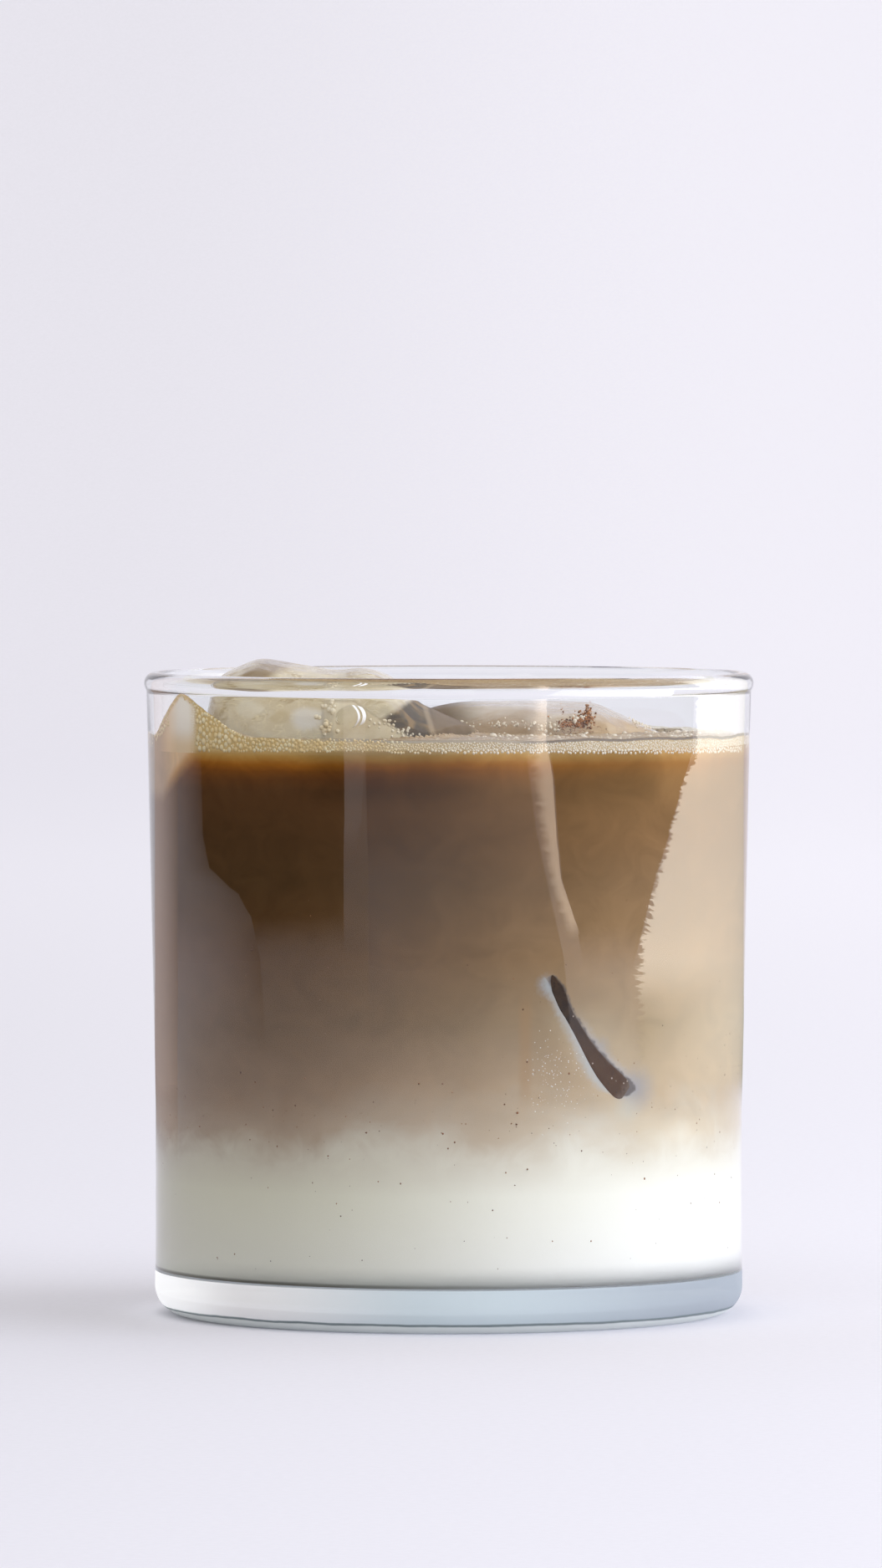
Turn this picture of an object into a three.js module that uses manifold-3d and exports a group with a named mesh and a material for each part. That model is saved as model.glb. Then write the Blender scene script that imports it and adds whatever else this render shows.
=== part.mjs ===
// An iced hojicha latte in a straight, low tumbler with a beaded rim and a thick base.
// Milk lies at the bottom, the tea layer above it, froth on top, and two ice blocks float in it.
// Millimetres, +Z up. The glass stands on z = 0 with its axis on Z; the front is -Y.

import * as THREE from "three";
import { mergeVertices } from "three/addons/utils/BufferGeometryUtils.js";
import Module from "manifold-3d";

const wasm = await Module();
wasm.setup();

// Glass
const rimRadius = 43.0;
const rimHeight = 90.5;
const beadHeight = 3.3;
const beadInset = 2.9;
const shoulderRadius = 42.65;
const waistRadius = 41.4;
const waistHeight = 29.0;
const heelRadius = 41.5;
const heelRound = 4.0;
const footRadius = 33.0;
const pushUp = 0.8;
const wallThickness = 2.2;
const floorHeight = 6.3;
const floorRound = 3.0;
const glassSides = 64;

// Drink
const contentGap = 0.3;
const milkLevel = 22.5;
const milkSwirl = 2.2;
const teaTop = 80.3;
const frothTop = 81.8;
const frothSag = 0.9;
const drinkSides = 64;

// Froth pulled up the wall where the left block presses on the glass
const peakTurn = THREE.MathUtils.degToRad(63);
const peakRise = 6.2;
const peakWidthRight = THREE.MathUtils.degToRad(21);
const peakWidthLeft = THREE.MathUtils.degToRad(15);
const climbDepth = 0.16;

// Ice
const iceDetail = [32, 20];
const pocketGrow = 0.45;
const iceWallGap = 1.4;
const leftBlock = {
  centre: [-16.0, -8.6, 74.6],
  half: [17.4, 17.2, 17.4],
  plan: 26,
  tip: 13.0,
  roundness: 4.6,
  melt: 0.9,
  phase: 0.6,
  crown: 0.012,
  crest: [[-38, 87.4], [-33, 90.1], [-26.5, 92.8], [-16, 91.0], [-11.5, 91.6], [-7.4, 89.9], [-4.6, 86.6], [7, 81.4]],
};
const rightBlock = {
  centre: [13.2, 13.0, 70.6],
  half: [16.4, 17.2, 16.4],
  plan: 14,
  tip: 3.0,
  roundness: 4.2,
  melt: 0.6,
  phase: 2.3,
  crown: 0.006,
  crest: [[-8, 84.6], [2, 86.1], [11, 86.4], [21, 86.0], [29, 82.2], [36, 79.5]],
};

function outerRadius(z) {
  const climb = Math.max(0, z - waistHeight) / (rimHeight - beadHeight - waistHeight);
  const swell = Math.max(0, waistHeight - z) / waistHeight;
  return waistRadius + (shoulderRadius - waistRadius) * climb + (heelRadius - waistRadius) * swell;
}

// Inside of the wall, with the rounded corner where it meets the floor.
function innerRadius(z) {
  const wall = outerRadius(z) - wallThickness;
  const rise = Math.max(0, z - floorHeight);
  if (rise >= floorRound) return wall;
  return wall - floorRound + Math.sqrt(floorRound ** 2 - (floorRound - rise) ** 2);
}

function arc(centreX, centreY, radiusX, radiusY, from, to, steps) {
  const points = [];
  for (let i = 0; i <= steps; i++) {
    const turn = THREE.MathUtils.degToRad(from + ((to - from) * i) / steps);
    points.push(new THREE.Vector2(centreX + radiusX * Math.cos(turn), centreY + radiusY * Math.sin(turn)));
  }
  return points;
}

// A closed profile turned round the Z axis.
function turned(profile, sides) {
  const geometry = new THREE.LatheGeometry(profile, sides);
  geometry.rotateX(Math.PI / 2);
  return geometry;
}

function glassProfile() {
  const beadBase = rimHeight - beadHeight;
  const heel = arc(heelRadius - heelRound, heelRound, heelRound, heelRound, -90, 0, 4);
  const bead = arc(rimRadius - beadInset / 2, rimHeight - beadHeight / 2, beadInset / 2, beadHeight / 2, -60, 240, 10);
  const corner = arc(
    innerRadius(floorHeight + floorRound) - floorRound,
    floorHeight + floorRound,
    floorRound,
    floorRound,
    0,
    -90,
    4,
  );
  return [
    new THREE.Vector2(0, pushUp),
    new THREE.Vector2(footRadius * 0.7, pushUp * 0.8),
    new THREE.Vector2(footRadius, 0),
    ...heel,
    new THREE.Vector2(outerRadius(waistHeight), waistHeight),
    new THREE.Vector2(outerRadius(beadBase), beadBase),
    ...bead,
    new THREE.Vector2(outerRadius(beadBase) - wallThickness, beadBase),
    new THREE.Vector2(innerRadius(waistHeight), waistHeight),
    ...corner,
    new THREE.Vector2(0, floorHeight),
  ];
}

// Level between milk and tea: a cloudy swell that stands higher in the middle and at the right.
function milkSurface(x, y) {
  const lean = milkSwirl * (x / waistRadius);
  const swell = milkSwirl * Math.exp(-((x - 8) ** 2 + (y + 20) ** 2) / 260);
  const ripple = 0.45 * Math.sin(x * 0.21 + 1.1) * Math.cos(y * 0.17 - 0.4);
  return milkLevel + 0.5 * lean + swell + ripple;
}

// Turn from the front towards the left of the photograph's view, in radians.
function turnLeft(x, y) {
  return Math.atan2(-x, -y);
}

function wallPeak(x, y) {
  const away = turnLeft(x, y) - peakTurn;
  const width = away > 0 ? peakWidthLeft : peakWidthRight;
  return peakRise * Math.max(0, 1 - Math.abs(away) / width) ** 1.15;
}

// Froth is flat in the open, creeps up the glass all round and climbs to a peak beside the left block.
function frothSurface(x, y) {
  const reach = Math.hypot(x, y) / innerRadius(frothTop);
  const hug = Math.max(0, 1 - (1 - reach) / climbDepth) ** 2;
  const bubbles = 0.18 * Math.sin(x * 0.37 + 0.5) * Math.sin(y * 0.43 - 1.2);
  return frothTop + bubbles + hug * (0.25 + wallPeak(x, y));
}

// The froth hangs deeper at the left than at the right.
function frothUnderside(x) {
  return teaTop + contentGap - frothSag * 0.5 * (1 - x / waistRadius);
}

// A layer that fills the glass between two surfaces, as a turned disc whose rows are lifted to them.
function layer(lower, upper, lowerRings, wallRows, upperRings) {
  const profile = [];
  for (let i = 0; i <= lowerRings; i++) profile.push(new THREE.Vector2(Math.sqrt(i / lowerRings), 0));
  for (let i = 1; i < wallRows; i++) profile.push(new THREE.Vector2(1, i / wallRows));
  for (let i = upperRings; i >= 0; i--) profile.push(new THREE.Vector2(Math.sqrt(i / upperRings), 1));
  const geometry = turned(profile, drinkSides);
  const place = geometry.attributes.position;
  for (let i = 0; i < place.count; i++) {
    const share = place.getZ(i);
    const nominal = innerRadius(frothTop) - contentGap;
    const x = place.getX(i) * nominal;
    const y = place.getY(i) * nominal;
    const z = THREE.MathUtils.lerp(lower(x, y), upper(x, y), share);
    const squeeze = (innerRadius(z) - contentGap) / nominal;
    place.setXYZ(i, x * squeeze, y * squeeze, z);
  }
  return geometry;
}

// The bottom of the milk follows the rounded corner of the glass.
function milkForm() {
  const bottom = floorHeight + contentGap;
  const corner = arc(-floorRound, bottom + floorRound, floorRound, floorRound, -90, 0, 3);
  const wall = innerRadius(bottom + floorRound) - contentGap;
  const profile = [new THREE.Vector2(0, bottom)];
  for (const point of corner) profile.push(new THREE.Vector2(wall + point.x, point.y));
  const rings = 5;
  for (let i = rings; i >= 0; i--) profile.push(new THREE.Vector2(wall * Math.sqrt(i / rings), milkLevel));
  const geometry = turned(profile, drinkSides);
  const place = geometry.attributes.position;
  for (let i = 0; i < place.count; i++) {
    if (place.getZ(i) < milkLevel - 0.01) continue;
    place.setZ(i, milkSurface(place.getX(i), place.getY(i)));
  }
  return geometry;
}

// Height of a melted top along X, between the named crest points.
function crestHeight(crest, x) {
  let next = crest.findIndex(([at]) => at > x);
  if (next < 0) next = crest.length - 1;
  next = Math.max(1, next);
  const [fromX, fromZ] = crest[next - 1];
  const [toX, toZ] = crest[next];
  return THREE.MathUtils.mapLinear(x, fromX, toX, fromZ, toZ);
}

// A block of ice: a cube rounded by melting, with shallow hollows, tipped and turned to where it floats,
// its top melted down to the crest.
function iceForm(block, grow) {
  const geometry = new THREE.SphereGeometry(1, ...iceDetail);
  const place = geometry.attributes.position;
  const dir = new THREE.Vector3();
  const [a, b, c] = block.half;
  for (let i = 0; i < place.count; i++) {
    dir.fromBufferAttribute(place, i).normalize();
    const power = block.roundness;
    const sum = Math.abs(dir.x / a) ** power + Math.abs(dir.y / b) ** power + Math.abs(dir.z / c) ** power;
    const hollow = Math.sin(dir.x * 4.1 + block.phase) * Math.sin(dir.y * 3.7 - block.phase) * Math.cos(dir.z * 3.2);
    const size = sum ** (-1 / power) + block.melt * hollow + grow;
    place.setXYZ(i, dir.x * size, dir.y * size, dir.z * size);
  }
  geometry.rotateZ(THREE.MathUtils.degToRad(45));
  geometry.rotateY(THREE.MathUtils.degToRad(block.tip));
  geometry.rotateZ(THREE.MathUtils.degToRad(block.plan));
  geometry.translate(...block.centre);
  for (let i = 0; i < place.count; i++) {
    const x = place.getX(i);
    const y = place.getY(i);
    const top = crestHeight(block.crest, x) - block.crown * (y - block.centre[1]) ** 2;
    place.setZ(i, Math.min(place.getZ(i), top + grow));
  }
  return geometry;
}

function toSolid(geometry) {
  const bare = geometry.clone();
  bare.deleteAttribute("normal");
  bare.deleteAttribute("uv");
  const merged = mergeVertices(bare, 1e-4);
  const corners = [];
  for (let i = 0; i < merged.index.count; i += 3) {
    const [p, q, r] = [merged.index.getX(i), merged.index.getX(i + 1), merged.index.getX(i + 2)];
    if (p !== q && q !== r && r !== p) corners.push(p, q, r);
  }
  return new wasm.Manifold(new wasm.Mesh({
    numProp: 3,
    vertProperties: new Float32Array(merged.attributes.position.array),
    triVerts: new Uint32Array(corners),
  }));
}

function toGeometry(solid) {
  const mesh = solid.getMesh();
  const geometry = new THREE.BufferGeometry();
  geometry.setAttribute("position", new THREE.BufferAttribute(mesh.vertProperties, 3));
  geometry.setIndex(new THREE.BufferAttribute(mesh.triVerts, 1));
  geometry.computeVertexNormals();
  return geometry;
}

// Room for ice inside the wall: the froth film stays between it and the glass.
function iceRoom() {
  const radius = innerRadius(frothTop) - iceWallGap;
  const top = rimHeight + 10;
  const profile = [
    new THREE.Vector2(0, waistHeight),
    new THREE.Vector2(radius, waistHeight),
    new THREE.Vector2(radius, top),
    new THREE.Vector2(0, top),
  ];
  return toSolid(turned(profile, drinkSides));
}

function namedMesh(name, geometry, color, roughness) {
  const mesh = new THREE.Mesh(geometry, new THREE.MeshStandardMaterial({ color, roughness, metalness: 0 }));
  mesh.name = name;
  return mesh;
}

const room = iceRoom();
const leftPocket = toSolid(iceForm(leftBlock, pocketGrow));
const rightPocket = toSolid(iceForm(rightBlock, pocketGrow));
const leftIce = toSolid(iceForm(leftBlock, 0)).intersect(room);
const rightIce = toSolid(iceForm(rightBlock, 0)).intersect(room).subtract(leftPocket);

const tea = toSolid(layer((x, y) => milkSurface(x, y) + contentGap, (x) => frothUnderside(x) - contentGap, 5, 3, 1));
const froth = toSolid(layer(frothUnderside, frothSurface, 1, 1, 9));

const latte = new THREE.Group();
latte.add(namedMesh("glass", turned(glassProfile(), glassSides), 0xdfe6ea, 0.03));
latte.add(namedMesh("milk", milkForm(), 0xf2f1e8, 0.35));
latte.add(namedMesh("hojicha_latte", toGeometry(tea.subtract(leftPocket).subtract(rightPocket)), 0x8a6d4e, 0.3));
latte.add(namedMesh("froth", toGeometry(froth.subtract(leftPocket).subtract(rightPocket)), 0xc2a578, 0.5));
latte.add(namedMesh("ice_left", toGeometry(leftIce), 0xe4e6df, 0.08));
latte.add(namedMesh("ice_right", toGeometry(rightIce), 0xe4e6df, 0.08));

export default latte;
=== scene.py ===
# Looks of an iced hojicha latte in a beaded tumbler. Metres in the scene, millimetres in the sizes below.
# +Z up, the front is -Y and the glass stands on z = 0.

import math
import bpy
import numpy as np
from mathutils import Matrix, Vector


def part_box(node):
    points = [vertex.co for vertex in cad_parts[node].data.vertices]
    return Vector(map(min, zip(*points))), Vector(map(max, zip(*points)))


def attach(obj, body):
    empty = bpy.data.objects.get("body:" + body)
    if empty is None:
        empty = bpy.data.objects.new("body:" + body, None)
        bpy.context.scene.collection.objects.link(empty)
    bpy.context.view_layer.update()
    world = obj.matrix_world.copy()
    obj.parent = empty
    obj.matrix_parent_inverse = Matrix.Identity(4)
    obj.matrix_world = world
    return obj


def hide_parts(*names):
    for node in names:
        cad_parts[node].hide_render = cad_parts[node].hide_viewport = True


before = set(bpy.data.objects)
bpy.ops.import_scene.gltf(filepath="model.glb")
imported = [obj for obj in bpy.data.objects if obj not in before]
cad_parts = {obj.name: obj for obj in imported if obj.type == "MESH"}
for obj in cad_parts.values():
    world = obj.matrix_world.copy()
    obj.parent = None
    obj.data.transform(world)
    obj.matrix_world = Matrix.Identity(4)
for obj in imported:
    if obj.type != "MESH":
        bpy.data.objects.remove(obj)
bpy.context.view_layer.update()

mm = 0.001
print("frame loaded:", sorted(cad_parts))


# What carries everything: the glass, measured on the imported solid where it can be

_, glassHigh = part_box("glass")
tumbler = {
    "rimRadius": glassHigh[0] / mm,
    "height": glassHigh[2] / mm,
    "beadHeight": 3.3,
    "beadWidth": 2.9,
    "beadRise": 1.55,       # half the bead's height
    "shoulderRadius": 42.65,
    "waistRadius": 41.4,
    "waistHeight": 29.0,
    "heelRadius": 41.5,
    "heelRound": 4.0,
    "footRadius": 33.0,
    "pushUp": 0.8,
    "wall": 2.2,
    "floor": 6.3,
    "floorRound": 3.0,
    "waviness": 0.012,
    "columns": 288,
}

drink = {
    "intoWall": 0.12,       # how far the drink reaches into the glass, so that no air shows
    "milkLevel": 22.5,
    "milkSwirl": 2.2,
    "teaTop": 80.3,
    "frothTop": 81.8,
    "frothSag": 0.9,
    "columns": 300,
}

peak = {                    # froth pulled up the wall beside the left block
    "turn": math.radians(63),
    "rise": 6.2,
    "widthRight": math.radians(21),
    "widthLeft": math.radians(15),
    "climbDepth": 0.16,
}

leftBlock = {
    "centre": (-16.0, -8.6, 74.6),
    "half": (17.4, 17.2, 17.4),
    "plan": 26,
    "tip": 13.0,
    "roundness": 4.6,
    "melt": 0.9,
    "phase": 0.6,
    "crown": 0.012,
    "crest": ((-38, 87.4), (-33, 90.1), (-26.5, 92.8), (-16, 91.0), (-11.5, 91.6), (-7.4, 89.9), (-4.6, 86.6),
              (7, 81.4)),
}
rightBlock = {
    "centre": (13.2, 13.0, 70.6),
    "half": (16.4, 17.2, 16.4),
    "plan": 14,
    "tip": 3.0,
    "roundness": 4.2,
    "melt": 0.6,
    "phase": 2.3,
    "crown": 0.006,
    "crest": ((-8, 84.6), (2, 86.1), (11, 86.4), (21, 86.0), (29, 82.2), (36, 79.5)),
}
blocks = {"left": leftBlock, "right": rightBlock}
iceWallGap = 1.4
iceRings = (150, 200)       # rows and columns of points on a block

# Of the sunk block only the edge on the glass shows: a leaf from high at the front to low at the right
sunkEdge = {
    "line": ((657, 1166), (664, 1183), (673, 1206), (686, 1229), (698, 1250), (708, 1266), (719, 1281),
             (731, 1294), (744, 1307)),      # in the photograph
    "halfWidth": ((0, 0.1), (0.03, 0.5), (0.1, 0.9), (0.2, 0.86), (0.3, 0.7), (0.42, 0.74), (0.52, 0.85),
                  (0.64, 1.1), (0.76, 1.4), (0.87, 1.6), (0.94, 1.65), (0.98, 1.45), (1, 1.0)),
    "proud": 0.1,
    "depth": 5.0,
    "level": 40.0,      # height at which the glass's radius is taken for it
}

# Soft spots beside it: place in the photograph, reach in mm, amount and colour
sunkSpots = (
    ((652, 1178), 2.2, 0.65, (0.42, 0.46, 0.48)),
    ((757, 1302), 4.4, 0.8, (0.34, 0.33, 0.34)),
    ((746, 1326), 3.2, 0.4, (0.56, 0.58, 0.52)),
    ((716, 1250), 1.9, 0.4, (0.36, 0.36, 0.37)),
)

# The photograph's camera, in its 1055 by 1875 pixels
lens = {
    "distance": 1550.0,
    "height": 125.8,
    "axisAt": 536.8,
    "horizonAt": 504.0,
    "focal": 13140.0,
    "wide": 1055,
    "high": 1875,
    "sensor": 36.0,
}


# Numbers and meshes

def outerRadius(z):
    # waist radius, plus a straight swell up to the bead and a small one down to the heel
    beadBase = tumbler["height"] - tumbler["beadHeight"]
    climb = np.maximum(0, z - tumbler["waistHeight"]) / (beadBase - tumbler["waistHeight"])
    swell = np.maximum(0, tumbler["waistHeight"] - z) / tumbler["waistHeight"]
    grow = tumbler["shoulderRadius"] - tumbler["waistRadius"]
    return tumbler["waistRadius"] + grow * climb + (tumbler["heelRadius"] - tumbler["waistRadius"]) * swell


def innerRadius(z):
    # outer radius less the wall, with a quarter round where the wall meets the floor
    wall = outerRadius(z) - tumbler["wall"]
    bend = tumbler["floorRound"]
    rise = np.clip(z - tumbler["floor"], 0, bend)
    return wall - bend + np.sqrt(bend ** 2 - (bend - rise) ** 2)


def smooth(low, high, value):
    # cubic step from 0 at low to 1 at high
    share = np.clip((value - low) / (high - low), 0, 1)
    return share * share * (3 - 2 * share)


def arc(centre, size, fromTurn, toTurn, count):
    # points of an ellipse: centre plus size times cosine and sine of the turn
    turn = np.radians(np.linspace(fromTurn, toTurn, count))
    return np.stack([centre[0] + size[0] * np.cos(turn), centre[1] + size[1] * np.sin(turn)], axis=1)


def addPiece(name, points, faces, material, slotName, node=None):
    mesh = bpy.data.meshes.new(name)
    mesh.from_pydata(points * mm, [], faces)
    mesh.polygons.foreach_set("use_smooth", np.ones(len(mesh.polygons), dtype=bool))
    mesh.set_sharp_from_angle(angle=math.radians(50))
    mesh.materials.append(material)
    mesh.update()
    piece = bpy.data.objects.new(name, mesh)
    bpy.context.scene.collection.objects.link(piece)
    if slotName:
        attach(piece, "root")
    if node:
        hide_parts(node)
    print("made", name, "with", len(mesh.polygons), "faces")
    return piece


def closedFaces(rows, columns):
    # quads between neighbouring rows, columns closing round; the first and last point are the poles
    row = np.arange(rows - 1)[:, None] * columns + 1
    here = np.arange(columns)
    after = (here + 1) % columns
    corners = [row + here, row + after, row + columns + after, row + columns + here]
    quads = np.stack(corners, axis=-1).reshape(-1, 4)
    lastRow = (rows - 1) * columns + 1
    top = rows * columns + 1
    low = np.stack([np.zeros(columns, int), 1 + after, 1 + here], axis=-1)
    high = np.stack([np.full(columns, top), lastRow + here, lastRow + after], axis=-1)
    return quads.tolist() + low.tolist() + high.tolist()


def closedPiece(name, grid, poles, material, slotName, node=None):
    points = np.concatenate([poles[:1], grid.reshape(-1, 3), poles[1:]])
    return addPiece(name, points, closedFaces(*grid.shape[:2]), material, slotName, node)


def rowMiddles(grid):
    return [grid[0].mean(axis=0), grid[-1].mean(axis=0)]


def fullTurn(columns):
    return np.linspace(0, 2 * np.pi, columns, endpoint=False)


def soften(line, times):
    # each point moves to the average of itself, counted twice, and its two neighbours
    for _ in range(times):
        line[1:-1] = (line[:-2] + 2 * line[1:-1] + line[2:]) / 4


def keepValues(piece, name, values):
    # one number for each point of the mesh, for its material to read
    piece.data.attributes.new(name, "FLOAT", "POINT").data.foreach_set("value", values.ravel())


def turnedGrid(profile, columns):
    # a profile of radius and height carried round the Z axis
    turn = fullTurn(columns)
    radius = profile[:, 0][:, None]
    height = np.broadcast_to(profile[:, 1][:, None], (len(profile), columns))
    return np.stack([radius * np.cos(turn), radius * np.sin(turn), height], axis=-1)


def beadShape(rows=4, columns=7):
    # a small closed ball: cosine and sine rings between two poles, all triangles
    tilt = np.linspace(0, np.pi, rows + 2)[1:-1][:, None]
    turn = fullTurn(columns)
    ball = [np.sin(tilt) * np.cos(turn), np.sin(tilt) * np.sin(turn), -np.cos(tilt) + 0 * turn]
    points = np.concatenate([[[0, 0, -1]], np.stack(ball, axis=-1).reshape(-1, 3), [[0, 0, 1]]])
    faces = []
    for face in closedFaces(rows, columns):
        faces.append(face[:3])
        if len(face) == 4:
            faces.append([face[0], face[2], face[3]])
    return points, np.array(faces)


def scatterPiece(name, shape, centres, sizes, material, slotName):
    # one mesh of many copies of a small shape, each moved and sized, in all directions alike or in each one
    points, faces = shape
    placed = centres[:, None, :] + points[None] * sizes.reshape(len(sizes), 1, -1)
    offset = (np.arange(len(centres)) * len(points))[:, None, None]
    allFaces = (faces[None] + offset).reshape(-1, faces.shape[1])
    return addPiece(name, placed.reshape(-1, 3), allFaces, material, slotName)


def photoPoint(px, py, radius):
    # where the camera's line through a pixel of the photograph meets the front of an upright cylinder
    across = (np.asarray(px, dtype=float) - lens["axisAt"]) / lens["focal"]
    down = (np.asarray(py, dtype=float) - lens["horizonAt"]) / lens["focal"]
    square = 1 + across ** 2
    middle = lens["distance"]
    depth = (middle - np.sqrt(np.maximum(0, middle ** 2 - square * (middle ** 2 - radius ** 2)))) / square
    return np.stack([across * depth, depth - middle, lens["height"] - down * depth], axis=-1)


# Material helpers

class Flow:
    # a value on its way through a material's nodes: each sign of a formula adds one node
    def __init__(self, socket):
        self.socket = socket
        self.tree = socket.id_data

    def __add__(self, other):
        return sumNode("ADD", self, other)

    def __sub__(self, other):
        return sumNode("SUBTRACT", self, other)

    def __rsub__(self, other):
        return sumNode("SUBTRACT", other, self)

    def __mul__(self, other):
        return sumNode("MULTIPLY", self, other)

    def __truediv__(self, other):
        return sumNode("DIVIDE", self, other)

    def __lt__(self, other):
        return sumNode("LESS_THAN", self, other)

    def __gt__(self, other):
        return sumNode("GREATER_THAN", self, other)

    def __abs__(self):
        return sumNode("ABSOLUTE", self)


def wire(value, socket):
    # joins a flow to a socket, or sets the socket to a plain number or colour
    if isinstance(value, Flow):
        value.tree.links.new(value.socket, socket)
    elif socket.type == "RGBA" and len(value) == 3:
        socket.default_value = (*value, 1)
    else:
        socket.default_value = value


def addNode(flow, kind, values=(), **settings):
    # a node in the flow's tree, with its settings made and its sockets filled in order or by name
    node = flow.tree.nodes.new("ShaderNode" + kind)
    for name, value in settings.items():
        setattr(node, name, value)
    pairs = values.items() if isinstance(values, dict) else enumerate(values)
    for socket, value in pairs:
        wire(value, node.inputs[socket])
    return node


def sumNode(operation, *values):
    # arithmetic on vectors and colours where the flow is one, and otherwise on numbers
    flow = next(value for value in values if isinstance(value, Flow))
    kind = "Math" if flow.socket.type == "VALUE" else "VectorMath"
    node = addNode(flow, kind, values, operation=operation)
    number = kind == "Math" or operation in ("DOT_PRODUCT", "DISTANCE")
    return Flow(node.outputs["Value" if number else "Vector"])


def least(first, second):
    return sumNode("MINIMUM", first, second)


def most(first, second):
    return sumNode("MAXIMUM", first, second)


def root(value):
    return sumNode("SQRT", value)


def frontTurn(x, y):
    # turn round the glass from the front, growing to the left
    return sumNode("ARCTAN2", x * -1.0, y * -1.0)


def distance(place, other):
    return sumNode("DISTANCE", place, other)


def dotProduct(place, other):
    return sumNode("DOT_PRODUCT", place, other)


def scaled(flow, vector, factor):
    node = addNode(flow, "VectorMath", {0: vector, "Scale": factor}, operation="SCALE")
    return Flow(node.outputs[0])


def startMaterial(name):
    # an empty material, and the place on the piece in millimetres
    material = bpy.data.materials.new(name)
    material.use_nodes = True
    tree = material.node_tree
    tree.nodes.clear()
    place = Flow(tree.nodes.new("ShaderNodeTexCoord").outputs["Object"])
    return material, scaled(place, place, 1 / mm)


def finished(material, shader):
    addNode(shader, "OutputMaterial", {"Surface": shader})
    return material


def split(vector):
    return [Flow(part) for part in addNode(vector, "SeparateXYZ", [vector]).outputs]


def fromThree(*values):
    return Flow(addNode(values[0], "CombineXYZ", values).outputs[0])


def measured(place, name):
    # a number kept for each point of the mesh
    return Flow(addNode(place, "Attribute", attribute_name=name).outputs["Fac"])


def noise(vector, scale, detail=3.0, roughness=0.55, distortion=0.0):
    values = {"Vector": vector, "Scale": scale, "Detail": detail, "Roughness": roughness}
    return Flow(addNode(vector, "TexNoise", {**values, "Distortion": distortion}).outputs["Fac"])


def cells(vector, scale, feature="F1", dimensions="3D"):
    # a cell pattern's values by name: Distance, Color and Position
    node = addNode(vector, "TexVoronoi", feature=feature, voronoi_dimensions=dimensions)
    wire(vector, node.inputs["Vector"])
    wire(scale, node.inputs["Scale"])
    return {part.name: Flow(part) for part in node.outputs}


def remap(value, fromLow, fromHigh, toLow=0.0, toHigh=1.0):
    # a soft step: toLow up to fromLow, toHigh from fromHigh on
    values = {"Value": value, "From Min": fromLow, "From Max": fromHigh, "To Min": toLow, "To Max": toHigh}
    return Flow(addNode(value, "MapRange", values, interpolation_type="SMOOTHSTEP").outputs["Result"])


def mixColor(factor, first, second):
    return Flow(addNode(factor, "Mix", {0: factor, 6: first, 7: second}, data_type="RGBA").outputs[2])


def mottled(pattern, first, second):
    # two colours in soft patches
    return mixColor(remap(pattern, 0.35, 0.65), first, second)


def colorRamp(value, stops):
    node = addNode(value, "ValToRGB", [value])
    points = node.color_ramp.elements
    while len(points) < len(stops):
        points.new(0.5)
    for point, (place, color) in zip(points, stops):
        point.position = place
        point.color = (*color, 1)
    return Flow(node.outputs["Color"])


def fromCurve(value, points, highest):
    # a value read off a measured curve of points between 0 and 1
    node = addNode(value, "FloatCurve", {"Value": value})
    curve = node.mapping.curves[0]
    while len(curve.points) < len(points):
        curve.points.new(0.5, 0.5)
    for point, (at, level) in zip(curve.points, points):
        point.location = (at, level / highest)
        point.handle_type = "VECTOR"
    node.mapping.update()
    return Flow(node.outputs[0]) * highest


def bump(height, depth, strength=1.0):
    values = {"Height": height, "Distance": depth, "Strength": strength}
    return Flow(addNode(height, "Bump", values).outputs["Normal"])


def principled(place, **values):
    named = {name.replace("_", " "): value for name, value in values.items()}
    return Flow(addNode(place, "BsdfPrincipled", named).outputs[0])


def mixShader(share, first, second):
    return Flow(addNode(share, "MixShader", [share, first, second]).outputs[0])


def letLampsThrough(shader, tint):
    # lamps see this piece as clear, so that what is behind it is lit
    shadow = Flow(addNode(shader, "LightPath").outputs["Is Shadow Ray"])
    clear = Flow(addNode(shader, "BsdfTransparent", [tint]).outputs[0])
    return mixShader(shadow, shader, clear)


# The glass

# Tints: the clear glass, the painted light that its thick base gathers from left to right with a painted
# glow, and the base's painted dark line
glassTints = {
    "clear": (0.975, 0.987, 0.987),
    "baseLeft": (1.0, 1.0, 1.0),
    "baseMiddle": (0.65, 0.75, 0.79),
    "baseRight": (0.42, 0.47, 0.52),
    "baseLine": (0.22, 0.27, 0.28),
    "foot": (0.85, 0.90, 0.88),
    "baseGlow": (0.95, 0.99, 1.0),
    "shadow": (0.96, 0.97, 0.97),
}


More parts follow.
